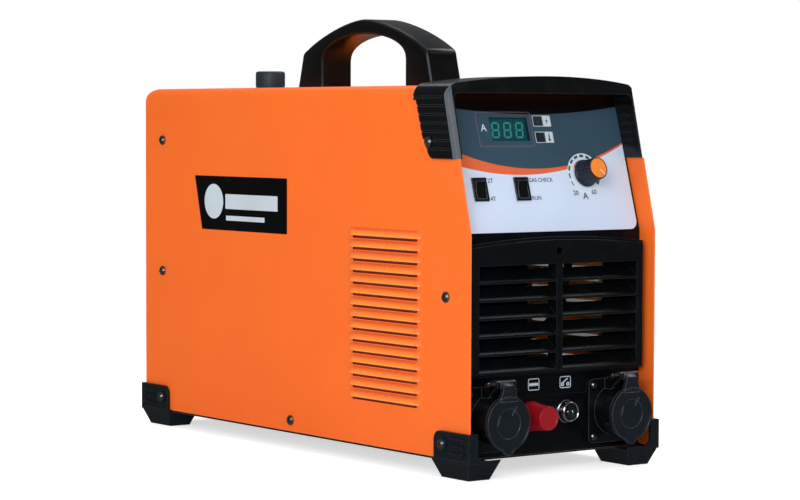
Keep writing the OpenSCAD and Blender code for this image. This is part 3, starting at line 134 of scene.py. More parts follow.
# %% A socket that does sums, and a finish that holds nodes
class Value:
    def __init__(self, finish, socket):
        self.finish, self.socket = finish, socket

    def math(self, operation, *others):
        return self.finish.node("Math", {"operation": operation}, self, *others)

    def __add__(self, other):
        return self.math("ADD", other)

    def __sub__(self, other):
        return self.math("SUBTRACT", other)

    def __mul__(self, other):
        return self.math("MULTIPLY", other)

    def __truediv__(self, other):
        return self.math("DIVIDE", other)

    def __rsub__(self, other):
        return self.finish.node("Math", {"operation": "SUBTRACT"}, other, self)

    def above(self, edge, blur):
        """0 below edge, 1 above it, with a soft step of that width"""
        return ((self - edge) / blur + 0.5).math("MAXIMUM", 0).math("MINIMUM", 1)

    def below(self, edge, blur):
        return 1 - self.above(edge, blur)


finishes = {}


class Finish:
    def __init__(self, name, owner=None):
        self.material = finishes[name] = owner or bpy.data.materials.new(name)
        self.material.use_nodes = True
        self.nodes = self.material.node_tree.nodes
        self.links = self.material.node_tree.links
        self.nodes.clear()
        place = self.node("TexCoord", {}, out="Object")
        self.place = self.vector("SCALE", place, Scale=1 / MM)

    def node(self, kind, settings, *values, out=0, **named):
        made = self.nodes.new("ShaderNode" + kind)
        for key, setting in settings.items():
            setattr(made, key, setting)
        for key, value in list(enumerate(values)) + list(named.items()):
            if value is None:
                continue
            socket = made.inputs[key.replace("_", " ") if isinstance(key, str) else key]
            if isinstance(value, Value):
                self.links.new(value.socket, socket)
            else:
                socket.default_value = value
        return Value(self, made.outputs[out]) if made.outputs else made

    def vector(self, operation, *values, out=0, **named):
        return self.node("VectorMath", {"operation": operation}, *values, out=out, **named)

    def mix(self, factor, a, b):
        unused = (None,) * 5
        return self.node("Mix", {"data_type": "RGBA"}, factor, *unused, a, b, out=2)

    def noise(self, size, detail=2, stretch=(1, 1, 1)):
        """Cloudy noise from 0 to 1 whose lumps are about size millimetres across"""
        place = self.vector("MULTIPLY", self.place, tuple(s / size for s in stretch))
        return self.node("TexNoise", {}, Vector=place, Scale=1, Detail=detail)

    def cells(self, size):
        place = self.vector("SCALE", self.place, Scale=1 / size)
        return self.node("TexVoronoi", {}, Vector=place, Scale=1)

    def along(self, direction):
        """Distance in millimetres along a direction, measured from the origin"""
        return self.vector("DOT_PRODUCT", self.place, tuple(direction), out="Value")

    def bumps(self, height, depth):
        """Turns a height from 0 to 1 into a normal, depth millimetres deep"""
        return self.node("Bump", {}, Strength=1, Distance=depth * MM, Height=height)

    def ray(self, kind):
        """1 on rays of that kind, 0 on all others"""
        return self.node("LightPath", {}, out=kind)

    def edges(self, width=0.7):
        """1 where a face turns over an edge within that many millimetres, 0 on flat faces"""
        eased = self.node("Bevel", {"samples": 4}, Radius=width * MM)
        flat = self.node("NewGeometry", {}, out="Normal")
        return (1 - self.vector("DOT_PRODUCT", eased, flat, out="Value")).above(0.06, 0.08)

    def surface(self, colour, roughness, normal=None, metallic=0, **more):
        shader = self.node("BsdfPrincipled", {}, Base_Color=colour, Roughness=roughness,
                           Normal=normal, Metallic=metallic, **more)
        self.node("OutputMaterial", {}, shader)


def paint(code, strength=1):
    """A colour written as on a paint chart, such as fc7a32, as linear light"""
    parts = [int(code[i:i + 2], 16) / 255 for i in (0, 2, 4)]
    return tuple(min(1, strength * (p / 12.92 if p <= 0.04045 else ((p + 0.055) / 1.055) ** 2.4))
                 for p in parts) + (1,)


print("an orange in linear light:", [round(c, 3) for c in paint("fc7a32")])

# %% [markdown]
# Powder coat is paint that is baked on: it has a faint orange peel of flowed lumps, a few
# millimetres across and hundredths deep, and a satin gloss. Two sizes of noise make it. The
# large one also drifts the tone by a few percent, so that no panel is one flat colour. Edges
# are lifted towards cream: partly the rub of crates, partly a painted sheen. Two options are
# painted light and shade and nothing more: one paints shade on the inside of the cover, and
# the other paints shade at the root of each hood and light on its lip, in place of the light
# that a curved lip would catch.


# %% Powder coat
def powder_coat(name, code, gloss=0.36, peel=0.012, painted_inner_shade=False, painted_hood_shade_and_light=False, shine=0.13):
    coat = Finish(name)
    drift = coat.noise(90, 3)
    speckle = coat.noise(0.8, 2)
    colour = coat.mix(drift, paint(code, 0.93), paint(code, 1.06))
    colour = coat.mix(speckle.above(0.64, 0.1) * 0.12, colour, paint(code, 0.7))
    # Edges are lifted towards cream: partly rubbed wear, partly a painted sheen along them.
    colour = coat.mix(coat.edges() * 0.18, colour, paint("ffd9b8"))
    if painted_inner_shade:
        turn = (coat.along((1, 0, 0)).math("ABSOLUTE") - (CASE_WIDTH / 2 - BEND)).math("MAXIMUM", 0)
        rise = (coat.along((0, 0, 1)) - (case_top - BEND)).math("MAXIMUM", 0)
        within = (turn * turn + rise * rise).math("SQRT").below(BEND - 0.6, 0.2)
        lean = (coat.along((0, 0, 1)) - SLOPE_FOOT).math("MAXIMUM", 0) * tan(SLOPE_LEAN)
        behind = (coat.along((0, 1, 0)) - lean).above(front_y + 6, 2)
        # Painted shade: the inside of the cover, behind the front panel, is coloured near black, where
        # it lies in shadow.
        colour = coat.mix(within * behind, colour, paint("1c0d07"))
    if painted_hood_shade_and_light:
        height = ((coat.along((0, 0, 1)) - LOUVRES["top"]) / LOUVRES["pitch"]).math("FRACT")
        half = LOUVRES["length"] / 2
        middle = cover_low.y + LOUVRES["setback"] + half
        from_middle = (coat.along((0, 1, 0)) - middle).math("ABSOLUTE")
        on_hood = from_middle.below(half - 1, 9)
        # Painted shade at the root of each hood, under the lip above, and painted light on its own lip.
        colour = coat.mix(on_hood * height.above(0.48, 0.3) * 0.6, colour, paint("d8461c"))
        colour = coat.mix(on_hood * height.below(0.26, 0.5) * 0.7, colour, paint("ffa84c"))
    smears = coat.noise(35, 4, (1, 1, 0.35))
    peel_normal = coat.bumps(coat.noise(2.6, 2) * 0.75 + speckle * 0.25, peel)
    coat.surface(colour, smears * 0.12 + (gloss - 0.06), peel_normal, Specular_IOR_Level=shine)


# %% [markdown]
# Moulded plastic takes the grain of its tool. Spark-eroded steel leaves fine pits, which a
# noise of half a millimetre gives, and the flow of the melt leaves broad, faint clouds in
# the gloss. Corners are polished by hands, so their roughness drops, and their tone is lifted
# towards pale grey: partly that wear, partly a painted highlight along the edges.


# %% Moulded plastic and rubber
def moulded(name, code, rough=0.45, grain=0.5, depth=0.02, wear_and_sheen=0.12, shine=0.3):
    cast = Finish(name)
    clouds = cast.noise(55, 3)
    pits = cast.noise(grain, 2) * 0.7 + cast.cells(grain * 1.6) * 0.3
    colour = cast.mix(clouds, paint(code, 0.86), paint(code, 1.16))
    rubbed_and_sheen = cast.edges()
    # Edges are lifted towards pale grey: partly rubbed wear, partly a painted highlight along them.
    colour = cast.mix(rubbed_and_sheen * wear_and_sheen, colour, paint("8d949c"))
    dust = cast.noise(18, 5).above(0.66, 0.25)
    colour = cast.mix(dust * 0.006, colour, paint("b9b4aa"))
    matt = clouds * 0.1 + (rough - 0.05) + dust * 0.08 - rubbed_and_sheen * 0.08
    cast.surface(colour, matt, cast.bumps(pits, depth), Specular_IOR_Level=shine,
                 Specular_Tint=(0.72, 0.87, 1, 1))


# %% [markdown]
# Metals differ by how they were worked. Plated screws are turned, cast valves are sand
# blasted, and heat sinks are drawn through a die, which leaves lines along their length. So
# one recipe takes the colour, the gloss and the direction in which its fine noise is
# stretched.


# %% Metals
def metal(name, code, rough=0.25, stretch=(1, 1, 1), grain=0.7, depth=0.006, tarnish="6b5a3c",
          stain=0.1):
    ware = Finish(name)
    lines = ware.noise(grain, 3, stretch)
    blotches = ware.noise(14, 4).above(0.58, 0.3)
    colour = ware.mix(lines, paint(code, 0.9), paint(code, 1.05))
    colour = ware.mix(blotches * stain, colour, paint(tarnish))
    ware.surface(colour, lines * 0.14 + blotches * 0.1 + (rough - 0.07),
                 ware.bumps(lines, depth), 1)


# %% [markdown]
# The control slope wears one printed film. Its three fields are parted by two large circles:
# slate inside the first, a warm crescent between them and a cool white below. Distance along
# the slope and across it is measured on Object coordinates, and each circle is a length
# compared with its radius, so that the printed edge is as sharp as ink.


# %% The printed film
def printed_film(name):
    film = Finish(name)
    foot = Vector((0, front_y, SLOPE_FOOT))
    up = film.along(up_slope) - foot.dot(up_slope)
    across = film.along((1, 0, 0))

    def inside(x, lowest, radius):
        dx = across - x
        dy = up - (lowest + radius)
        return (dx * dx + dy * dy).math("SQRT").below(radius, 0.15)

    fibre = film.noise(0.35, 2)
    cloud = film.noise(40, 2)
    white = film.mix(cloud, paint("c8d8f0"), paint("d2e0f5"))
    band = film.mix(cloud, paint("dc6038"), paint("e66b40"))
    slate = film.mix(cloud, paint("2f4759"), paint("38505f"))
    # A near black band along the top, under the visor: partly a printed header, partly painted shade of
    # the visor, darker than its shadow alone.
    header_and_visor_shade = paint("030303")
    colour = film.mix(inside(-20, 50.3, 276), white, band)
    colour = film.mix(inside(-3.5, 55.7, 237), colour, slate)
    dip = across * across * 0.00075 + 104.4
    colour = film.mix((up - dip).above(0, 0.2), colour, header_and_visor_shade)
    film.surface(colour, fibre * 0.08 + 0.3, film.bumps(fibre, 0.004), Specular_IOR_Level=0.3)


# %% [markdown]
# A circuit board is green lacquer over copper tracks. Cells of a Voronoi texture with
# straight edges give the maze of tracks, and a fine dot grid gives the soldered pads.


# %% Boards, windings and windows
def board(name):
    card = Finish(name)
    place = card.vector("SCALE", card.place, Scale=1 / 5)
    maze = card.node("TexVoronoi", {"distance": "MANHATTAN", "feature": "DISTANCE_TO_EDGE"},
                     Vector=place)
    tracks = maze.below(0.09, 0.04)
    pads = card.cells(3.1).below(0.22, 0.05)
    colour = card.mix(tracks, paint("1d6a3a"), paint("3c9457"))
    colour = card.mix(pads, colour, paint("c9c2a4"))
    card.surface(colour, card.noise(20, 2) * 0.15 + 0.25, card.bumps(tracks, 0.05))


def windings(name, code):
    """Enamelled wire wound side by side: ridges across the wire, with painted shade in the grooves and
    a painted highlight on their crowns
    """
    coil = Finish(name)
    ridges = (coil.along((0.35, 0.35, 1)) * (2 * pi / 1.8)).math("SINE") * 0.5 + 0.5
    colour = coil.mix(ridges, paint(code, 0.35), paint(code, 1.1))
    coil.surface(colour, 0.45 - ridges * 0.15, coil.bumps(ridges, 0.3), 0.7)


def window(name, code, alpha, rough=0.08):
    pane = Finish(name)
    dust = pane.noise(25, 4).above(0.62, 0.3)
    colour = pane.mix(dust * 0.05, paint(code), paint("c8cdd0"))
    pane.surface(colour, dust * 0.1 + rough, Alpha=dust * 0.04 + alpha)


def glowing(name, code, strength):
    light = Finish(name)
    grid = light.noise(0.5, 1)
    colour = light.mix(grid, paint(code, 0.85), paint(code, 1.1))
    light.surface(colour, 0.4, Emission_Color=colour, Emission_Strength=strength)


# %% [markdown]
# Each material slot of the record gets one finish, so that a CAD node and a new piece of the
# same moulding match. The last rows are inks and parts in another colour. The sheet behind
# the louvres is a free choice: it is tinted dark red-brown on one side, painted shade in the
# slots, and gold on the other, painted glints of warm light that show through the grille.

# %% The finishes by name
powder_coat("orange_paint", "f87027", painted_inner_shade=True)
powder_coat("tray_steel", "141518", 0.42)
moulded("front_plastic", "050608", 0.3, 0.6, 0.008, 0.08, 0.25)
moulded("grille_plastic", "06080a", 0.28, 0.6, 0.008, 0.08, 0.3)
printed_film("overlay_print")
moulded("visor_plastic", "090a0c", 0.24, 0.5, 0.006, 0.14, 0.3)
moulded("foot_plastic", "12181d", 0.38, 0.8, 0.015, 0.1, 0.25)
moulded("handle_plastic", "08090a", 0.3, 0.9, 0.012, 0.3, 0.3)
metal("steel_screw", "85888b", 0.26, stain=0.15)
board("circuit_board")
window("display_lens", "07343a", 0.3)
window("lamp_lens", "1d2732", 0.85, 0.2)
moulded("switch_plastic", "050607", 0.2, 0.5, 0.004, 0.5, 0.5)
moulded("knob_plastic", "1a2028", 0.4, 0.5, 0.012)
moulded("knob_orange", "f0852b", 0.42, 0.5, 0.012, 0.05)
moulded("socket_plastic", "07080a", 0.22, 0.6, 0.008, 0.35, 0.5)
moulded("flap_plastic", "12171c", 0.3, 0.7, 0.008, 0.35, 0.4)
metal("brass", "c9a55c", 0.3, stain=0.25)
moulded("red_plastic", "96101c", 0.34, 0.6, 0.012, 0.08)
metal("nickel", "d8d9da", 0.13, depth=0.003, stain=0.03)
moulded("component_dark", "121417", 0.5, 0.7, 0.02)
moulded("capacitor_sleeve", "141a3c", 0.3, 0.8, 0.01)
metal("aluminium", "b3b6b9", 0.38, (1, 0.04, 1), 0.6, 0.01, stain=0.05)
windings("copper_winding", "b8642c")
moulded("rocker_red", "a81410", 0.28, 0.6, 0.008, 0.06)
metal("zinc_steel", "a9adb0", 0.36, grain=6, depth=0.004, tarnish="7d8286", stain=0.35)
moulded("regulator_plastic", "2c343b", 0.4, 0.6, 0.015)
window("clear_bowl", "b9c4ca", 0.35, 0.12)
moulded("gauge_paint", "0c0e10", 0.35, 0.5, 0.01)
moulded("needle_paint", "d11a14", 0.4, 0.5, 0.005)
window("clear_lens", "dfe5e8", 0.12, 0.05)
moulded("hose_black", "0b0c0e", 0.4, 0.9, 0.015)
moulded("light_ink", "c3d0da", 0.4, 0.4, 0.004, 0)
moulded("dark_ink", "3d4c5f", 0.4, 0.4, 0.004, 0)
moulded("frame_ink", "8a6a70", 0.4, 0.4, 0.004, 0)
moulded("label_black", "030304", 0.22, 0.4, 0.004, 0, 0.15)
powder_coat("hood_paint", "f87027", 0.27, painted_hood_shade_and_light=True, shine=0.5)
metal("spring_steel", "3c3f42", 0.3)
moulded("filter_white", "d3d6cf", 0.8, 1.2, 0.06, 0)
moulded("dial_red", "b3201a", 0.4, 0.4, 0.004, 0)
# Tinted sheets behind the louvres: dark red-brown as painted shade in the slots, gold as painted glints
# of light through them.
window("gauze_left", "9a2a0a", 0.68, 0.6)
window("gauze_right", "d8a85a", 0.62, 0.6)
glowing("display_back", "0d5860", 0.3)
glowing("display_glow", "4fbcbd", 0.4)
moulded("dial_white", "d4e2f2", 0.5, 0.4, 0.004, 0)

print(len(finishes), "finishes")

node_slots = {part["node"]: part["material_slot"] for part in frame["record"]["subparts"]}
for node, thing in frame["nodes"].items():
    thing.data.materials.clear()
    thing.data.materials.append(finishes[node_slots[node]])

# %% [markdown]
# A piece starts as a bmesh in millimetres, in its face's own frame. One function sends it to
# its place, turns its normals outwards, gives it its finish and lets it ride on its body. A
# second one softens a CAD node: sawn edges reflect no light, while a real moulding has a
# small radius on every edge, so a merged copy of the node gets a Bevel modifier.


# %% Finishing a piece
def as_object(shape, name, body, finish, smooth, instead_of):
    mesh = bpy.data.meshes.new(name)
    shape.to_mesh(mesh)
    shape.free()
    mesh.shade_smooth()
    mesh.set_sharp_from_angle(angle=radians(smooth))
    mesh.materials.append(finishes[finish])
    made = into_scene(name, mesh)
    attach(made, body)
    if instead_of:
        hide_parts(*instead_of)
    return made


def finish_piece(shape, name, body, slot, place=Matrix.Identity(4), ink=None, instead_of=(), smooth=32):
    """Sends a shape to its place; ink names its finish where that isn't its slot's own"""
    bmesh.ops.transform(shape, matrix=place, verts=shape.verts)
    bmesh.ops.remove_doubles(shape, verts=shape.verts, dist=0.001 * MM)
    bmesh.ops.recalc_face_normals(shape, faces=shape.faces)
    made = as_object(shape, name, body, ink or slot, smooth, instead_of)
    print(name, "on", body, len(made.data.polygons), "faces")


def printed_piece(shape, name, place, ink):
    """A thin solid of ink or film that stays with the case"""
    finish_piece(shape, name, "case", "overlay_print", place, ink)


def body_of(node):
    """The body that a CAD node belongs to"""
    for name, members in frame["record"]["behaviour"]["bodies"].items():
        if node in members:
            return name


def merged(node):
    """A copy of a CAD node whose triangles are joined into whole faces"""
    shape = bmesh.new()
    shape.from_mesh(frame["nodes"][node].data)
    bmesh.ops.remove_doubles(shape, verts=shape.verts, dist=1e-6)
    bmesh.ops.dissolve_limit(shape, angle_limit=radians(0.4), verts=shape.verts, edges=shape.edges)
    return shape


def softened(node, name, radius, corner, rounds=2):
    """A copy of a CAD node with a small radius on its edges"""
    slot = node_slots[node]
    made = as_object(merged(node), name, body_of(node), slot, corner, [node])
    edge = made.modifiers.new("edge", "BEVEL")
    edge.limit_method, edge.angle_limit = "ANGLE", radians(corner)
    edge.width, edge.segments, edge.loop_slide = radius * MM, rounds, False
    even = made.modifiers.new("even", "WEIGHTED_NORMAL")
    even.keep_sharp, even.weight = True, 100


# %% [markdown]
# The floor, the lamps and the camera come next, so that each new piece can be looked at in
# good light. The floor is pale and keeps the shadow. The camera, and a view through glass,
# see a white world. A mirrored ray sees a dim room with a white wall behind the machine, so
# that black plastic stays black, and the light that the world sheds stays low.

# %% Camera, floor and lamps
scene = bpy.context.scene
scene.view_settings.view_transform = "Standard"
CAMERA_RIGHT = Vector((0.80707, -0.59045, 0.00299))
CAMERA_UP = Vector((0.02730, 0.04237, 0.99873))
CAMERA_AHEAD = Vector((0.58982, 0.80596, -0.05031))
CAMERA_PLACE = Vector((-1.42104, -2.00001, 0.30201))
camera = into_scene("camera", bpy.data.cameras.new("camera"))
camera.matrix_world = Matrix.Translation(CAMERA_PLACE) @ Matrix(
    (CAMERA_RIGHT, CAMERA_UP, -CAMERA_AHEAD)).transposed().to_4x4()
camera.data.lens, camera.data.sensor_width = 117.2, 36
camera.data.clip_start, camera.data.clip_end = 0.1, 60
scene.camera = camera


BACKDROP = Vector((0.59, 0.81, 0)).normalized()
ROOM_LIGHT = 0.1
WORLD_LIGHT = 0.42
FLOOR_LIFT = 0.62
FLOOR_FADE = (0.45, 1.3)


def ray_strength(finish, heading):
    """What a ray gets from the studio: white if it is seen, dim room light if it is mirrored"""
    towards = finish.vector("DOT_PRODUCT", heading, tuple(BACKDROP), out="Value")
    room = (towards * 0.25 - 0.05).math("MAXIMUM", ROOM_LIGHT).math("MINIMUM", 1)
    seen = finish.ray("Is Camera Ray").math("MAXIMUM", finish.ray("Is Transmission Ray"))
    return seen.math("MAXIMUM", finish.ray("Is Glossy Ray") * room)


scene.world = bpy.data.worlds.new("studio")
sky = Finish("studio", scene.world)
heading = sky.node("TexCoord", {}, out="Generated")
level = ray_strength(sky, heading).math("MAXIMUM", sky.ray("Is Diffuse Ray") * WORLD_LIGHT)
sky.node("OutputWorld", {}, sky.node("Background", {}, (1, 1, 1, 1), level))

ground = Finish("studio_floor")


def glow_of(strength):
    return ground.node("Emission", {}, Strength=strength)


def either(factor, a, b):
    return ground.node("MixShader", {}, factor, a, b)


place = ground.node("TexCoord", {}, out="Object")
far = ground.node("MapRange", {"interpolation_type": "SMOOTHSTEP"}, out="Result",
                  Value=ground.vector("LENGTH", place, out="Value"),
                  From_Min=FLOOR_FADE[0], From_Max=FLOOR_FADE[1])
matt = ground.node("BsdfPrincipled", {}, Base_Color=(0.8, 0.8, 0.8, 1), Roughness=0.7,
                   Specular_IOR_Level=0)
lifted = ground.node("AddShader", {}, matt, glow_of(FLOOR_LIFT))
near = either(ground.ray("Is Glossy Ray"), lifted, glow_of(ROOM_LIGHT))
shown = either(far, near, glow_of(ray_strength(ground, ground.vector("NORMALIZE", place))))
ground.node("OutputMaterial", {}, either(ground.ray("Is Diffuse Ray"), shown, matt))
floor_shape = bmesh.new()
bmesh.ops.create_grid(floor_shape, x_segments=1, y_segments=1, size=20)
floor_mesh = bpy.data.meshes.new("studio_floor")
floor_shape.to_mesh(floor_mesh)
floor_shape.free()
floor_mesh.materials.append(ground.material)
floor = into_scene("studio_floor", floor_mesh)


def lamp(name, place, size, power, aim=(0, 0, 0.18)):
    light = bpy.data.lights.new(name, "AREA")
    light.shape, light.size, light.energy = "DISK", size, power
    stand = into_scene(name, light)
    stand.location = place
    stand.rotation_euler = (Vector(aim) - Vector(place)).to_track_quat("-Z", "Y").to_euler()


lamp("key_lamp", (-1.55, -1.5, 0.85), 1.0, 19)
lamp("front_lamp", (-0.5, -2.7, 1.1), 1.2, 12)
lamp("side_lamp", (-2.44, -0.46, 0.68), 0.5, 7)
lamp("top_lamp", (0.1, 0.2, 2.4), 1.0, 16)
lamp("rear_lamp", (0.6, 1.7, 2.5), 1.4, 12)
lamp("right_lamp", (1.7, -0.15, 2.2), 1.3, 20)
print("camera and", len(bpy.data.lights), "lamps")

# %% [markdown]
# New pieces start from a few outlines. A plate is an outline that is filled and extruded, a
# turned piece is a profile spun about its axis as on a lathe, and a plate may get its edges
# broken with the bevel operator. Corners of an outline are rounded before it is filled,
# because a bevel of the solid would round its faces too.


# %% Outlines and solids
def rounded(points, radius, steps=4):
    """An outline whose corners are eased over that distance"""
    path, count = [], len(points)
    for i, point in enumerate(points):
        here = Vector(point).to_2d()
        arms = [Vector(points[i - 1]).to_2d() - here, Vector(points[(i + 1) % count]).to_2d() - here]
        ends = [here + arm.normalized() * min(radius, arm.length * 0.48) for arm in arms]
        for k in range(steps + 1):
            t = k / steps
            path.append(tuple(ends[0] * (1 - t) ** 2 + here * 2 * t * (1 - t) + ends[1] * t ** 2))
    return path


def box_outline(width, height, x=0, y=0):
    return [(x - width / 2, y - height / 2), (x + width / 2, y - height / 2),
            (x + width / 2, y + height / 2), (x - width / 2, y + height / 2)]


def circle_outline(radius, x=0, y=0, count=48):
    turns = [2 * pi * k / count for k in range(count)]
    return [(x + radius * cos(t), y + radius * sin(t)) for t in turns]


def bezier(ends, count=12):
    a, b, c, d = [Vector(p) for p in ends]
    steps = [k / count for k in range(count + 1)]
    return [tuple(a * (1 - t) ** 3 + b * 3 * t * (1 - t) ** 2 + c * 3 * t * t * (1 - t) + d * t ** 3)
            for t in steps]


def plate(outline, low, high, holes=()):
    """A flat plate of that outline between two heights"""
    shape = bmesh.new()
    for loop in (outline, *holes):
        verts = [shape.verts.new((x, y, low)) for x, y in loop]
        for k, vert in enumerate(verts):
            shape.edges.new((vert, verts[(k + 1) % len(verts)]))
    if holes:
        bmesh.ops.triangle_fill(shape, use_beauty=True, edges=shape.edges[:])
    else:
        shape.faces.new(shape.verts[:])
    raised = bmesh.ops.extrude_face_region(shape, geom=shape.faces[:])
    tops = [v for v in raised["geom"] if isinstance(v, bmesh.types.BMVert)]
    bmesh.ops.translate(shape, vec=(0, 0, high - low), verts=tops)
    return shape


def turned(profile, steps=64, closed=False):
    """A profile of (radius, height) points, spun about the face's own Z"""
    shape = bmesh.new()
    verts = [shape.verts.new((radius, 0, height)) for radius, height in profile]
    pairs = list(zip(verts, verts[1:])) + ([(verts[-1], verts[0])] if closed else [])
    edges = [shape.edges.new(pair) for pair in pairs]
    bmesh.ops.spin(shape, geom=verts + edges, cent=(0, 0, 0), axis=(0, 0, 1), angle=2 * pi,
                   steps=steps, use_merge=True)
    bmesh.ops.remove_doubles(shape, verts=shape.verts, dist=0.001)
    return shape


def broken_edges(shape, width, rounds=2, corner=35, where=None):
    """Bevels the edges that turn by more than corner degrees"""
    edges = [e for e in shape.edges if len(e.link_faces) == 2
             and e.calc_face_angle(0) > radians(corner) and (where is None or where(e))]
    bmesh.ops.bevel(shape, geom=edges, offset=width, offset_type="OFFSET", segments=rounds,
                    profile=0.5, affect="EDGES", material=-1, clamp_overlap=True)
    return shape


def add(target, shape, place=Matrix.Identity(4)):
    """Puts another shape into target"""
    bmesh.ops.transform(shape, matrix=place, verts=shape.verts)
    part = bpy.data.meshes.new("part")
    shape.to_mesh(part)
    shape.free()
    target.from_mesh(part)
    bpy.data.meshes.remove(part)


def about(axis, degrees):
    return Matrix.Rotation(radians(degrees), 4, axis)


def move(x, y, z=0):
    return Matrix.Translation((x, y, z))


def smooth_step(t):
    t = min(1, max(0, t))
    return t * t * (3 - 2 * t)


def flute(shape, count, depth, least, foot, foot_ease, head, head_ease):
    """Presses upright flutes into a spun wall between two heights, outside a least radius"""
    for vert in shape.verts:
        radius = math.hypot(vert.co.x, vert.co.y)
        if radius > least:
            wall = smooth_step((vert.co.z - foot) / foot_ease)
            wall *= smooth_step((head - vert.co.z) / head_ease)
            wave = 0.5 - 0.5 * cos(count * math.atan2(vert.co.y, vert.co.x))
            scale = 1 - depth * wall * wave ** 2 / radius
            vert.co.x, vert.co.y = vert.co.x * scale, vert.co.y * scale


INK = 0.06


def lettering(words, height, x=0, y=0, low=0, high=INK):
    """Printed words as a thin solid, centred on a point"""
    curve = bpy.data.curves.new("words", "FONT")
    curve.body, curve.size = words, height * 1.38
    curve.align_x, curve.align_y = "CENTER", "CENTER"
    curve.extrude, curve.offset = (high - low) / 2, height * 0.022
    curve.resolution_u = 3
    holder = bpy.data.objects.new("words", curve)
    mesh = bpy.data.meshes.new_from_object(holder)
    bpy.data.objects.remove(holder)
    shape = bmesh.new()
    shape.from_mesh(mesh)
    bpy.data.meshes.remove(mesh)
    bmesh.ops.translate(shape, vec=(x, y, (low + high) / 2), verts=shape.verts)
    return shape


def line_frame(width, height, line, x=0, y=0, low=0, high=INK, corner=0.6):
    """A printed frame: a thin line round a box"""
    outer = rounded(box_outline(width, height, x, y), corner)
    inner = rounded(box_outline(width - 2 * line, height - 2 * line, x, y), max(corner - line, 0.1))
    return plate(outer, low, high, [inner])


# %% [markdown]
# Sheet steel is 1.2 mm thick, so its cut edges take a radius of a quarter of a millimetre,
# while moulded pieces take a third of a millimetre to nearly a whole one. Where the CAD's own
# shape is right, a softened copy is enough. The angle that counts as an edge is small on the
# cover, because its pressed louvres leave the sheet at a shallow slope. The visor has the
# least radius of all. Its CAD shape has a slit of a tenth of a millimetre along the bevelled
# edge of each cheek, where the pocket for the cover breaks through, and a bevel widens it.

# %% Soft edges for the CAD's own shapes
FEET = ["foot_" + end + "_" + side for end in ("front", "rear") for side in ("left", "right")]
EDGE_RADII = {
    "outer_cover": 0.25, "base_tray": 0.3, "rear_panel": 0.3, "front_panel": 0.5, "front_grille": 0.8,
    "visor": 0.12, "left_socket": 0.5, "right_socket": 0.5, "switch_housings": 0.35,
    "mode_rocker": 0.4, "gas_rocker": 0.4, "power_switch": 0.4, "power_rocker": 0.4,
    "side_screws": 0.25, "front_screws": 0.2, "regulator_bracket": 0.4, "regulator_body": 0.8,
    "cord_gland": 0.5, "inlet_fitting": 0.3, "solenoid_valve": 0.4,
    "gauge_body": 0.6, "drain_valve": 0.4, "torch_connector": 0.3, "fan_frame": 0.6,
    **{foot: 0.8 for foot in FEET},
}
for node, radius in EDGE_RADII.items():
    softened(node, node + "_shell", radius, 15 if node == "outer_cover" else 32)
print(len(EDGE_RADII), "softened shapes")

# %% [markdown]
# The side louvres are pressed: a punch cuts a slit and pushes the sheet above it outwards,
# so each hood has a sharp lower lip and ends that ramp back into the sheet. A grid of a few
# hundred faces is lifted by a smooth ramp and laid over the CAD's plain wedge. A thin tinted
# sheet behind the hoods, which the CAD doesn't have, is painted shade and light: it darkens
# the slots and tints what shows through them.

# %% Pressed louvres
louvre_y = cover_low.y - middle_y + LOUVRES["setback"] + LOUVRES["length"] / 2


def pressed_hood(length, rise, out, ramp=5, thick=0.3):
    shape = bmesh.new()
    bmesh.ops.create_grid(shape, x_segments=56, y_segments=10, size=0.5)
    for vert in shape.verts:
        along = vert.co.x * (length + 2 * ramp)
        height = vert.co.y + 0.5
        end = smooth_step((length / 2 + ramp - abs(along)) / (ramp + 1))
        lift = out * end * (1 - height) ** 0.8
        vert.co = (along, height * (rise + 0.4), lift + 0.14 * end - 0.04)
    bmesh.ops.recalc_face_normals(shape, faces=shape.faces)
    if sum(f.normal.z for f in shape.faces) < 0:
        bmesh.ops.reverse_faces(shape, faces=shape.faces)
    bmesh.ops.solidify(shape, geom=shape.faces[:], thickness=thick)
    return shape


for side, face in (("left", on_left), ("right", on_right)):
    hoods = bmesh.new()
    for k in range(LOUVRES["count"]):
        height = LOUVRES["top"] - k * LOUVRES["pitch"]
        add(hoods, pressed_hood(LOUVRES["length"], LOUVRES["rise"], LOUVRES["out"] + 0.1),
            face(louvre_y, height))
    finish_piece(hoods, "louvre_hoods_" + side, "case", "orange_paint", ink="hood_paint", smooth=50)
    drop = LOUVRES["count"] * LOUVRES["pitch"]
    # A tinted sheet behind the hoods: painted shade in the slots, and painted glints of warm light
    # through them.
    screen = plate(box_outline(LOUVRES["length"] + 8, drop + 4), -1.9, -1.5)
    finish_piece(screen, "louvre_gauze_" + side, "case", "hose_black",
                 face(louvre_y, LOUVRES["top"] + 2 - (drop - LOUVRES["pitch"]) / 2), "gauze_" + side)

# %% [markdown]
# The left side carries a film label. It is a gloss black sheet with one slanting end, and
# what is printed on it is left plain: a disc and two bars.

# %% Side label
LABEL = {"y": 84, "z": 221.8, "width": 146, "height": 51, "slant": 13}
half_label = LABEL["width"] / 2
label_outline = [(-half_label, -LABEL["height"] / 2), (half_label, -LABEL["height"] / 2),
                 (half_label, LABEL["height"] / 2), (-half_label - LABEL["slant"], LABEL["height"] / 2)]
label_place = on_left(LABEL["y"], LABEL["z"])
printed_piece(plate(rounded(label_outline, 0.6), 0.02, 0.18), "side_label", label_place, "label_black")
label_print = plate(circle_outline(16.5, -52, 1.5, 64), 0.18, 0.22)
add(label_print, plate(rounded(box_outline(89, 14, 13, 1.8), 0.8), 0.18, 0.22))
add(label_print, plate(rounded(box_outline(66, 4.5, 2.7, -13.8), 0.6), 0.18, 0.22))
printed_piece(label_print, "side_label_print", label_place, "light_ink")

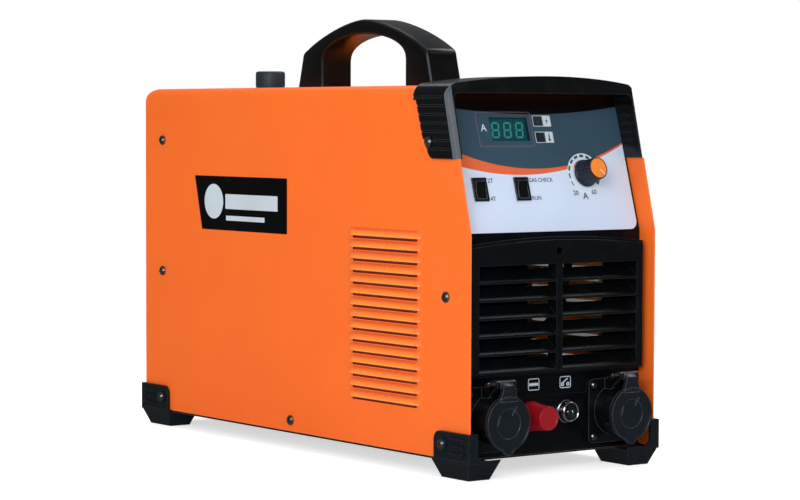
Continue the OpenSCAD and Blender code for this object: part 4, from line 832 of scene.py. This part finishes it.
# %% [markdown]
# The handle is one thick moulding: an arch on two legs. Its outline is the same set of
# curves as the CAD's, extruded across, and then every long edge gets a broad bevel that
# lies well in a hand. A raised band crosses the outer face of each leg where the grip ends.

# %% Handle
handle_low, handle_high = corners("handle")
HANDLE = {"rise": 32, "leg_slope": 7.5, "leg": 42, "crown": 14}
foot = (handle_high.y - handle_low.y) / 2
knee, gap = foot - HANDLE["leg_slope"], foot - HANDLE["leg"]
shoulder, crest = HANDLE["rise"], handle_high.z - handle_low.z
outer_arch = [(foot, 0)] + bezier([(knee, shoulder - 4), (knee - 1, shoulder + 3),
    (foot - 11, shoulder + 3), (foot - 15, shoulder + 5)], 5)
outer_arch += bezier([(foot - 15, shoulder + 5), (foot - 36, crest - 15), (foot / 4, crest),
                      (0, crest)])[1:]
inner_arch = [(gap, 0)] + bezier([(gap, shoulder - 6), (gap, shoulder + 10),
    (gap / 2 - 5, crest - HANDLE["crown"]), (0, crest - HANDLE["crown"])])
arch = outer_arch + [(-x, y) for x, y in outer_arch[-2::-1]]
arch += [(-x, y) for x, y in inner_arch] + inner_arch[-2::-1]
width = handle_high.x - handle_low.x
handle = plate(arch, -width / 2, width / 2)
bmesh.ops.recalc_face_normals(handle, faces=handle.faces)
broken_edges(handle, 3.2, 3, 35, lambda e: min(v.co.y for v in e.verts) > -1
             and max(v.co.y for v in e.verts) > 0.1 and abs(e.verts[0].co.z - e.verts[1].co.z) < 1)
for side in (-1, 1):
    band = plate(rounded(box_outline(1.6, width - 8), 0.7), -0.3, 0.5)
    add(handle, broken_edges(band, 0.3, 2, 60),
        move(side * (knee + 0.3), shoulder - 1.5) @ about("Y", side * 90) @ about("Z", 90))
finish_piece(handle, "carrying_handle", "case", "handle_plastic",
             placed((0, 1, 0), (0, 0, 1), (0, (handle_low.y + handle_high.y) / 2, handle_low.z)),
             instead_of=["handle"], smooth=28)

# %% [markdown]
# The visor throws a shadow over a printed slope. Ink has no thickness that a hand could
# feel, but a print of six hundredths of a millimetre lies safely over the film, so words,
# frames and the dial's scale are thin solids. The words are only what such a machine needs:
# the unit, the ends of the scale and what each switch does.

# %% Print on the slope
FILM = 0.5
DIAL = (48.5, 50.5)
on_film = on_slope(0, 0, FILM)
light_print = lettering("A", 6.4, -54, 92)
for up in (98.35, 83.75):
    add(light_print, line_frame(19.8, 9.9, 0.5, 11, up))
    add(light_print, plate(box_outline(8.6, 9.4, 16.4, up), 0, INK))
printed_piece(light_print, "slope_print_light", on_film, "light_ink")

dark_print = lettering("A", 6.2, 45.2, 30.4)
WORDS = (("20", 4.3, 35, 33.4), ("60", 4.3, 55.6, 33.9), ("2T", 3.9, -56.9, 45.4),
         ("4T", 3.9, -57.0, 29.5), ("GAS CHECK", 3.6, -1.9, 45.5), ("RUN", 3.6, -9.6, 29.6))
for words, height, x, up in WORDS:
    add(dark_print, lettering(words, height, x, up))
bolt = [(-0.6, -3), (1.6, 0.5), (0.2, 0.5), (0.9, 3), (-1.5, -0.4), (-0.1, -0.4)]
for sign in ([(x + 16.4, y + 98.35) for x, y in bolt], rounded(box_outline(1.3, 5.2, 16.4, 84.4), 0.6),
             circle_outline(1.35, 16.4, 81.6, 20)):
    add(dark_print, plate(sign, INK, INK + 0.04))
printed_piece(dark_print, "slope_print_dark", on_film, "dark_ink")
printed_piece(line_frame(59.6, 30.7, 0.35, -31, 91.05), "display_frame_print", on_film, "frame_ink")

scale_ring = plate(circle_outline(18.6, count=72), 0, 0.03, [circle_outline(12.6, count=72)])
printed_piece(scale_ring, "dial_scale_ring", on_slope(*DIAL, FILM), "dial_white")
scale_marks = bmesh.new()
MARKS = 11
for k in range(MARKS):
    grown = k / (MARKS - 1)
    middle, low, high = 209 - 23.8 * k, 16.9 - 3.0 * grown ** 0.7, 17.9 - 0.9 * grown
    arc = [radians(middle - 7.6 + 15.2 * t / 6) for t in range(7)]
    bar = [(high * cos(t), high * sin(t)) for t in arc]
    bar += [(low * cos(t), low * sin(t)) for t in arc[::-1]]
    add(scale_marks, plate(bar, 0.03, 0.07))
printed_piece(scale_marks, "dial_scale_marks", on_slope(*DIAL, FILM), "dark_ink")

# %% [markdown]
# Behind the tinted window sit three seven-segment digits. A segment is a small bar with
# pointed ends, and a digit leans a few degrees, which a shear of the finished bars gives.

# %% Display
WINDOW = (-26, 91)
digit_back = -2.65


def segment(length, wide, x, y, upright_bar):
    half, side = length / 2, wide / 2
    bar = [(-half, 0), (-half + side, side), (half - side, side), (half, 0), (half - side, -side),
           (-half + side, -side)]
    return [((-b if upright_bar else a) + x, (a if upright_bar else b) + y) for a, b in bar]


digits = bmesh.new()
for column in (-1, 0, 1):
    for x, y, upright_bar in ((0, 6.4, 0), (0, 0, 0), (0, -6.4, 0), (-3.5, 3.2, 1), (3.5, 3.2, 1),
                              (-3.5, -3.2, 1), (3.5, -3.2, 1)):
        bar = segment(5.7 if upright_bar else 6.2, 1.5, x, y, upright_bar)
        add(digits, plate([(a + b * 0.1 + column * 13, b) for a, b in bar], 0, 0.3))
finish_piece(digits, "display_digits", "case", "component_dark", on_slope(*WINDOW, digit_back + 0.1),
             ink="display_glow")
finish_piece(plate(rounded(box_outline(41, 20.5), 0.8), 0, 0.1), "display_face", "case",
             "component_dark", on_slope(*WINDOW, digit_back), ink="display_back")

# %% [markdown]
# The current knob is turned, then fluted for grip. The spin gives a smooth cone, and each
# flute is pushed in by a cosine of the angle round the axis, which keeps the rim round above
# and below. Its cap is a separate orange disc with a white pointer line. At rest the pointer
# stands at the upper end of the scale.

# %% Current knob
knob_radius, knob_top, knob_height, knob_base = 12, 9.8, 20.5, 1.3
profile = [(3.05, knob_base), (knob_radius - 0.5, knob_base), (knob_radius, knob_base + 0.5),
           (knob_radius, knob_base + 2.2), (knob_radius - 0.9, knob_base + 3.0)]
walls = 12
for k in range(walls + 1):
    t = k / walls
    profile.append((knob_radius - 0.9 - (knob_radius - 0.9 - knob_top) * t,
                    knob_base + 3.0 + (knob_height - 0.7 - knob_base - 3.0) * t))
profile += [(knob_top - 0.25, knob_height - 0.2), (knob_top - 0.8, knob_height),
            (knob_top - 1.0, knob_height - 0.1), (knob_top - 1.0, knob_height - 1.8),
            (3.05, knob_height - 1.8)]
knob = turned(profile, 144, closed=True)
flute(knob, 18, 0.75, knob_top - 0.9, knob_base + 3, 1.2, knob_height - 0.9, 1.5)
finish_piece(knob, "current_knob_fluted", "dial", "knob_plastic", on_slope(*DIAL),
             instead_of=["current_knob"], smooth=40)
cap = turned([(0, knob_height - 1.8), (8.75, knob_height - 1.8), (8.75, knob_height - 0.35),
              (8.4, knob_height), (7.8, knob_height + 0.02), (0, knob_height + 0.12)], 64)
finish_piece(cap, "knob_cap_disc", "dial", "knob_orange", on_slope(*DIAL), instead_of=["knob_cap"])
pointer = plate(box_outline(6.2, 0.75, 5.3, 0), knob_height - 0.2, knob_height + 0.14)
finish_piece(pointer, "knob_pointer", "dial", "knob_orange", on_slope(*DIAL) @ about("Z", -45),
             ink="dial_white")

# %% [markdown]
# Each socket has a spring flap: a moulded disc with a raised rim, a dished face and a tab
# below for a finger. The disc is spun, and its lower part is then drawn down into the tab by
# a smooth bump of the angle. The arm and its web are plates, and the knuckle round the hinge
# pin is spun.

# %% Socket flaps
SOCKET_X, SOCKET_Z = 68, 49
HINGE_UP, HINGE_OFF = 31.5, 22
flap_off = 24.9


def flap_shape():
    lid = [(0, 0), (22.2, 0), (23, 0.8), (23, 3.6), (22.7, 4.3), (22.2, 4.5), (21.7, 4.4), (21.3, 3.9),
           (20.9, 3.7), (12.6, 3.5), (12.3, 3.1), (11.9, 3.0), (0, 2.9)]
    flap = turned([(radius, flap_off + height) for radius, height in lid], 96)
    for vert in flap.verts:
        radius = math.hypot(vert.co.x, vert.co.y)
        if radius > 17:
            below = (math.atan2(vert.co.y, vert.co.x) + pi / 2 + pi) % (2 * pi) - pi
            pull = math.exp(-(below / radians(13.5)) ** 4) * 3.4 * smooth_step((radius - 17) / 4.5)
            vert.co.y -= pull
    bmesh.ops.translate(flap, vec=(0, -1.5, 0), verts=flap.verts)
    for x, y, turn in ((6.5, 10.5, 60), (-9.8, 3.0, 72)):
        rib = plate(rounded(box_outline(8, 1.1), 0.5), flap_off + 2.6, flap_off + 3.7)
        add(flap, broken_edges(rib, 0.25, 2, 60), move(x, y - 1.5) @ about("Z", turn))
    arm = plate(rounded([(-10, 17), (-6.3, HINGE_UP - 4.5), (-6, HINGE_UP - 1), (6, HINGE_UP - 1),
                         (6.3, HINGE_UP - 4.5), (10, 17)], 1.6), flap_off, flap_off + 4.2)
    add(flap, broken_edges(arm, 0.9, 2, 60))
    knuckle = turned([(1.6, -6), (3.2, -6), (3.6, -5.6), (3.6, 5.6), (3.2, 6), (1.6, 6)], 32,
                     closed=True)
    add(flap, knuckle, move(0, HINGE_UP, HINGE_OFF) @ about("Y", 90))
    web = plate([(HINGE_UP - 3.5, HINGE_OFF), (HINGE_UP + 3.3, HINGE_OFF + 1.2),
                 (HINGE_UP - 1.2, flap_off + 4.1), (HINGE_UP - 5, flap_off + 4.1)], -5.8, 5.8)
    lie = Matrix(((0, 0, 1, 0), (1, 0, 0, 0), (0, 1, 0, 0), (0, 0, 0, 1)))
    add(flap, broken_edges(web, 0.5, 2, 30), lie)
    return flap


for side, sign in (("left", -1), ("right", 1)):
    finish_piece(flap_shape(), side + "_flap_lid", side + "_socket_flap", "flap_plastic",
                 on_front(sign * SOCKET_X, SOCKET_Z), instead_of=[side + "_flap"], smooth=42)

# %% [markdown]
# A torsion spring closes each flap. The spin operator moves a circle as it turns it, which
# draws a helix in one step.

# %% Flap springs
SPRING = {"wire": 0.45, "radius": 2.4, "length": 5.1, "turns": 4, "steps": 96}
springs = bmesh.new()
for sign in (-1, 1):
    coil = bmesh.new()
    bmesh.ops.create_circle(coil, cap_ends=False, segments=10, radius=SPRING["wire"])
    bmesh.ops.transform(coil, matrix=move(SPRING["radius"], 0, SPRING["wire"]) @ about("X", 90),
                        verts=coil.verts)
    bmesh.ops.spin(coil, geom=coil.verts[:] + coil.edges[:], cent=(0, 0, 0), axis=(0, 0, 1),
                   dvec=(0, 0, SPRING["length"] / SPRING["steps"]), angle=2 * pi * SPRING["turns"],
                   steps=SPRING["steps"])
    bmesh.ops.holes_fill(coil, edges=[e for e in coil.edges if e.is_boundary])
    add(springs, coil, move(sign * SOCKET_X - 15.9, HINGE_UP, HINGE_OFF) @ about("Y", 90))
finish_piece(springs, "flap_coil_springs", "case", "steel_screw", on_front(0, SOCKET_Z),
             ink="spring_steel", instead_of=["flap_springs"], smooth=60)

# %% [markdown]
# The red cap is a soft push-on plug: a tapered shell with a rounded rim and a slightly
# raised ring at its tip. The signal socket beside it is turned from nickel-plated brass,
# with a groove behind its rounded shoulder and two pins inside.

# %% Torch cap and signal socket
TORCH_X, SIGNAL_X, SIGNAL_Z = -23, 17, 50.5
cap = turned([(8.05, 1.6), (12.6, 1.5), (12.9, 2.0), (12.9, 4.0), (12.5, 4.6), (12.2, 5.2),
              (10.5, 24.2), (10.45, 25.9), (10.2, 26.6), (9.8, 26.95), (9.3, 27.0), (8.9, 26.8),
              (8.6, 26.4), (0, 26.3), (0, 17.4), (8.05, 17.4)], 72, closed=True)
finish_piece(cap, "torch_cap_shell", "torch_plug_cap", "red_plastic", on_front(TORCH_X, SOCKET_Z),
             instead_of=["torch_cap"], smooth=40)

signal = turned([(0, 0.1), (10.1, 0.1), (10.1, 1.6), (9.7, 2.0), (9.1, 2.1), (9.0, 2.6), (9.6, 3.1),
                 (9.5, 5.2), (9.1, 7.2), (8.5, 8.2), (8.1, 8.5), (7.7, 8.3), (7.4, 7.7), (7.4, 3.1),
                 (0, 3.0)], 72)
for x in (-2.6, 2.6):
    pin = turned([(0, 2.9), (1.2, 2.9), (1.2, 6.4), (0.9, 7.1), (0.4, 7.5), (0, 7.6)], 20)
    add(signal, pin, move(x, 0))
finish_piece(signal, "signal_socket_body", "case", "nickel", on_front(SIGNAL_X, SIGNAL_Z),
             instead_of=["signal_socket"], smooth=40)
insert = turned([(0, 3.05), (7.35, 3.05), (7.35, 3.9), (6.9, 4.2), (0, 4.2)], 48)
finish_piece(insert, "signal_socket_insert", "case", "component_dark", on_front(SIGNAL_X, SIGNAL_Z))

# %% [markdown]
# Between the large sockets the front has a low raised field that carries the small ones,
# and two signs in light ink above it: a bar with five marks over it and an open switch.

# %% Raised field and signs
field = plate(rounded(box_outline(86, 49, 0, 41.5), 1.5), 0.02, 0.7)
finish_piece(broken_edges(field, 0.35, 2, 60), "socket_field", "case", "front_plastic",
             on_front(0, 0))
signs = bmesh.new()
for x, y in ((-18.4, 75.5), (16.6, 75.6)):
    add(signs, line_frame(12.4, 10.2, 0.7, x, y, 0.02, 0.08, 1.8))
add(signs, plate(rounded(box_outline(10, 1.7, -18.4, 75.5), 0.3), 0.02, 0.08))
for x in (-22.4, -20.4, -18.4, -16.4, -14.4):
    add(signs, plate(box_outline(0.9, 2.9, x, 75.5), 0.02, 0.07))
for x in (13.6, 19.6):
    eye = circle_outline(0.75, x, 73.9, 20)
    add(signs, plate(circle_outline(1.75, x, 73.9, 20), 0.02, 0.08, [eye]))
add(signs, plate([(14.0, 74.9), (19.6, 78.2), (19.1, 79.2), (13.3, 75.7)], 0.02, 0.08))
printed_piece(signs, "socket_signs", on_front(0, 0), "light_ink")

# %% [markdown]
# A foot's wall is stiffened by three low ribs in front of its screw, and the screw sits on
# a round boss. One foot's set is made in the frame of its side and repeated on all four.

# %% Ribs and bosses of the feet
FOOT = {"rib_length": 19, "rib_middle": 15.5, "screw": 37.8, "boss": 6.6}
ribs = bmesh.new()
for node in FEET:
    low, high = corners(node)
    face = on_left if "left" in node else on_right
    end, inward = (low.y, 1) if "front" in node else (high.y, -1)
    wall = max(-low.x, high.x) - CASE_WIDTH / 2
    for z in (22.3, 28.7, 34.8):
        rib = plate(rounded(box_outline(FOOT["rib_length"], 2.0), 0.9), -0.4, 1.2)
        add(ribs, broken_edges(rib, 0.35, 2, 60),
            face(end + inward * FOOT["rib_middle"] - middle_y, z, wall))
    boss = turned([(4.6, -0.3), (FOOT["boss"], -0.3), (FOOT["boss"], 0.3), (FOOT["boss"] - 0.3, 0.5),
                   (4.9, 0.5), (4.6, 0.3)], 40, closed=True)
    add(ribs, boss, face(end + inward * FOOT["screw"] - middle_y, 28.9, wall))
finish_piece(ribs, "foot_ribs", "case", "foot_plastic", smooth=50)

# %% [markdown]
# The regulator's knob is a tall sleeve that is pulled up before it is turned. Its flutes are
# pushed in by a cosine, as on the current knob. The gauge gets a printed face: a long tick
# every 27 degrees, two short ones between and a number at every second long one. A white
# element stands in the bowl.

# %% Regulator, gauge and filter
knob_low, knob_high = corners("regulator_knob")
regulator_x, regulator_y = (knob_low.x + knob_high.x) / 2, (knob_low.y + knob_high.y) / 2
tall = knob_high.z - knob_low.z
sleeve = [(0, 27), (13.35, 27), (13.35, 0.2), (14.6, 0), (15.2, 0.6)]
sleeve += [(15.2, 2 + k * 2.2) for k in range(12)] + [(14.7, 27.6), (14.7, 28.6), (15.2, 29.1)]
sleeve += [(15.2, tall - 3.2), (14.9, tall - 1.6), (14.1, tall - 0.6), (12.8, tall - 0.1), (0, tall)]
sleeve = turned(sleeve, 144)
flute(sleeve, 24, 0.5, 15, 1.5, 3, 26.7, 3)
finish_piece(sleeve, "regulator_sleeve", "pressure_knob", "regulator_plastic",
             upright(regulator_x, regulator_y, knob_low.z), instead_of=["regulator_knob"], smooth=40)

gauge_low, gauge_high = corners("gauge_body")
gauge_z = (gauge_low.z + gauge_high.z) / 2
gauge_face = facing_back(regulator_x, gauge_high.y - 7, gauge_z)
finish_piece(plate(circle_outline(18.2, count=72), 0.03, 0.2), "gauge_face", "case", "gauge_paint",
             gauge_face, ink="dial_white")
GAUGE = {"zero": 225, "sweep": 270, "bars": 10, "ticks": 30, "tick_end": 16.6, "numbers": 10.6}
ink_low, ink_high = 0.2, 0.25
gauge_print = lettering("bar", 2.6, 0, -9.5, ink_low, ink_high)
for k in range(GAUGE["ticks"] + 1):
    length, wide = (3.4, 0.7) if k % 3 == 0 else (1.8, 0.35)
    tick = plate(box_outline(length, wide, GAUGE["tick_end"] - length / 2, 0), ink_low, ink_high)
    add(gauge_print, tick, about("Z", GAUGE["zero"] - GAUGE["sweep"] * k / GAUGE["ticks"]))
for k in range(0, GAUGE["bars"] + 1, 2):
    angle = radians(GAUGE["zero"] - GAUGE["sweep"] * k / GAUGE["bars"])
    x, y = GAUGE["numbers"] * cos(angle), GAUGE["numbers"] * sin(angle)
    add(gauge_print, lettering(str(k), 2.9, x, y, ink_low, ink_high))
finish_piece(gauge_print, "gauge_print", "case", "gauge_paint", gauge_face, ink="dark_ink")
red_arc = [radians(a) for a in range(-45, 10, 3)]
red_zone = plate([(17.6 * cos(t), 17.6 * sin(t)) for t in red_arc]
                 + [(16.9 * cos(t), 16.9 * sin(t)) for t in red_arc[::-1]], ink_low, ink_high)
finish_piece(red_zone, "gauge_red_zone", "case", "gauge_paint", gauge_face, ink="dial_red")

bowl_low = corners("regulator_bowl")[0]
element = turned([(0, 20), (7, 20), (7.4, 20.6)] + [(7.4 - 0.5 * (k % 2), 21.5 + k) for k in range(24)]
                 + [(7.4, 45.6), (10.5, 46), (10.5, 48), (0, 48)], 48)
finish_piece(element, "filter_element", "case", "clear_bowl",
             upright(regulator_x, regulator_y, bowl_low.z), ink="filter_white")

# %% [markdown]
# The rotor's blades are twisted: steep at the hub, flat at the tip, where the air moves
# faster. A grid is bent round the axis with the pitch and chord of each radius, thickened
# and repeated seven times round a hub with an eased rim.

# %% Fan rotor
FAN = {"hub": 21, "tip": 56.1, "blades": 7, "middle": -18, "chord": 31}
fan_low, fan_high = corners("fan_frame")
hub = FAN["hub"]
rotor = turned([(0, -33), (hub, -33), (hub, -4.6), (hub - 0.5, -3.5), (hub - 1.6, -3), (14, -3),
                (13.6, -3.4), (13.2, -3.5), (0, -3.5)], 72)
add(rotor, turned([(0, -38), (2, -38), (2, -32.9), (0, -32.9)], 24))
for k in range(FAN["blades"]):
    blade = bmesh.new()
    bmesh.ops.create_grid(blade, x_segments=14, y_segments=12, size=0.5)
    for vert in blade.verts:
        out, over = vert.co.x + 0.5, vert.co.y
        radius = hub - 0.6 + (FAN["tip"] - hub + 0.6) * out
        pitch = radians(50 - 20 * out)
        chord = FAN["chord"] * (0.9 + 0.25 * out)
        angle = over * chord * cos(pitch) / radius + 0.28 * out ** 2
        depth = over * chord * sin(pitch) + 2.2 * (1 - 4 * over ** 2)
        vert.co = (radius * cos(angle), radius * sin(angle), FAN["middle"] + depth)
    bmesh.ops.recalc_face_normals(blade, faces=blade.faces)
    bmesh.ops.solidify(blade, geom=blade.faces[:], thickness=1.5)
    add(rotor, blade, about("Z", 360 * k / FAN["blades"]))
finish_piece(rotor, "fan_blades", "fan", "component_dark",
             facing_back((fan_low.x + fan_high.x) / 2, fan_high.y, (fan_low.z + fan_high.z) / 2),
             instead_of=["fan_rotor"], smooth=50)
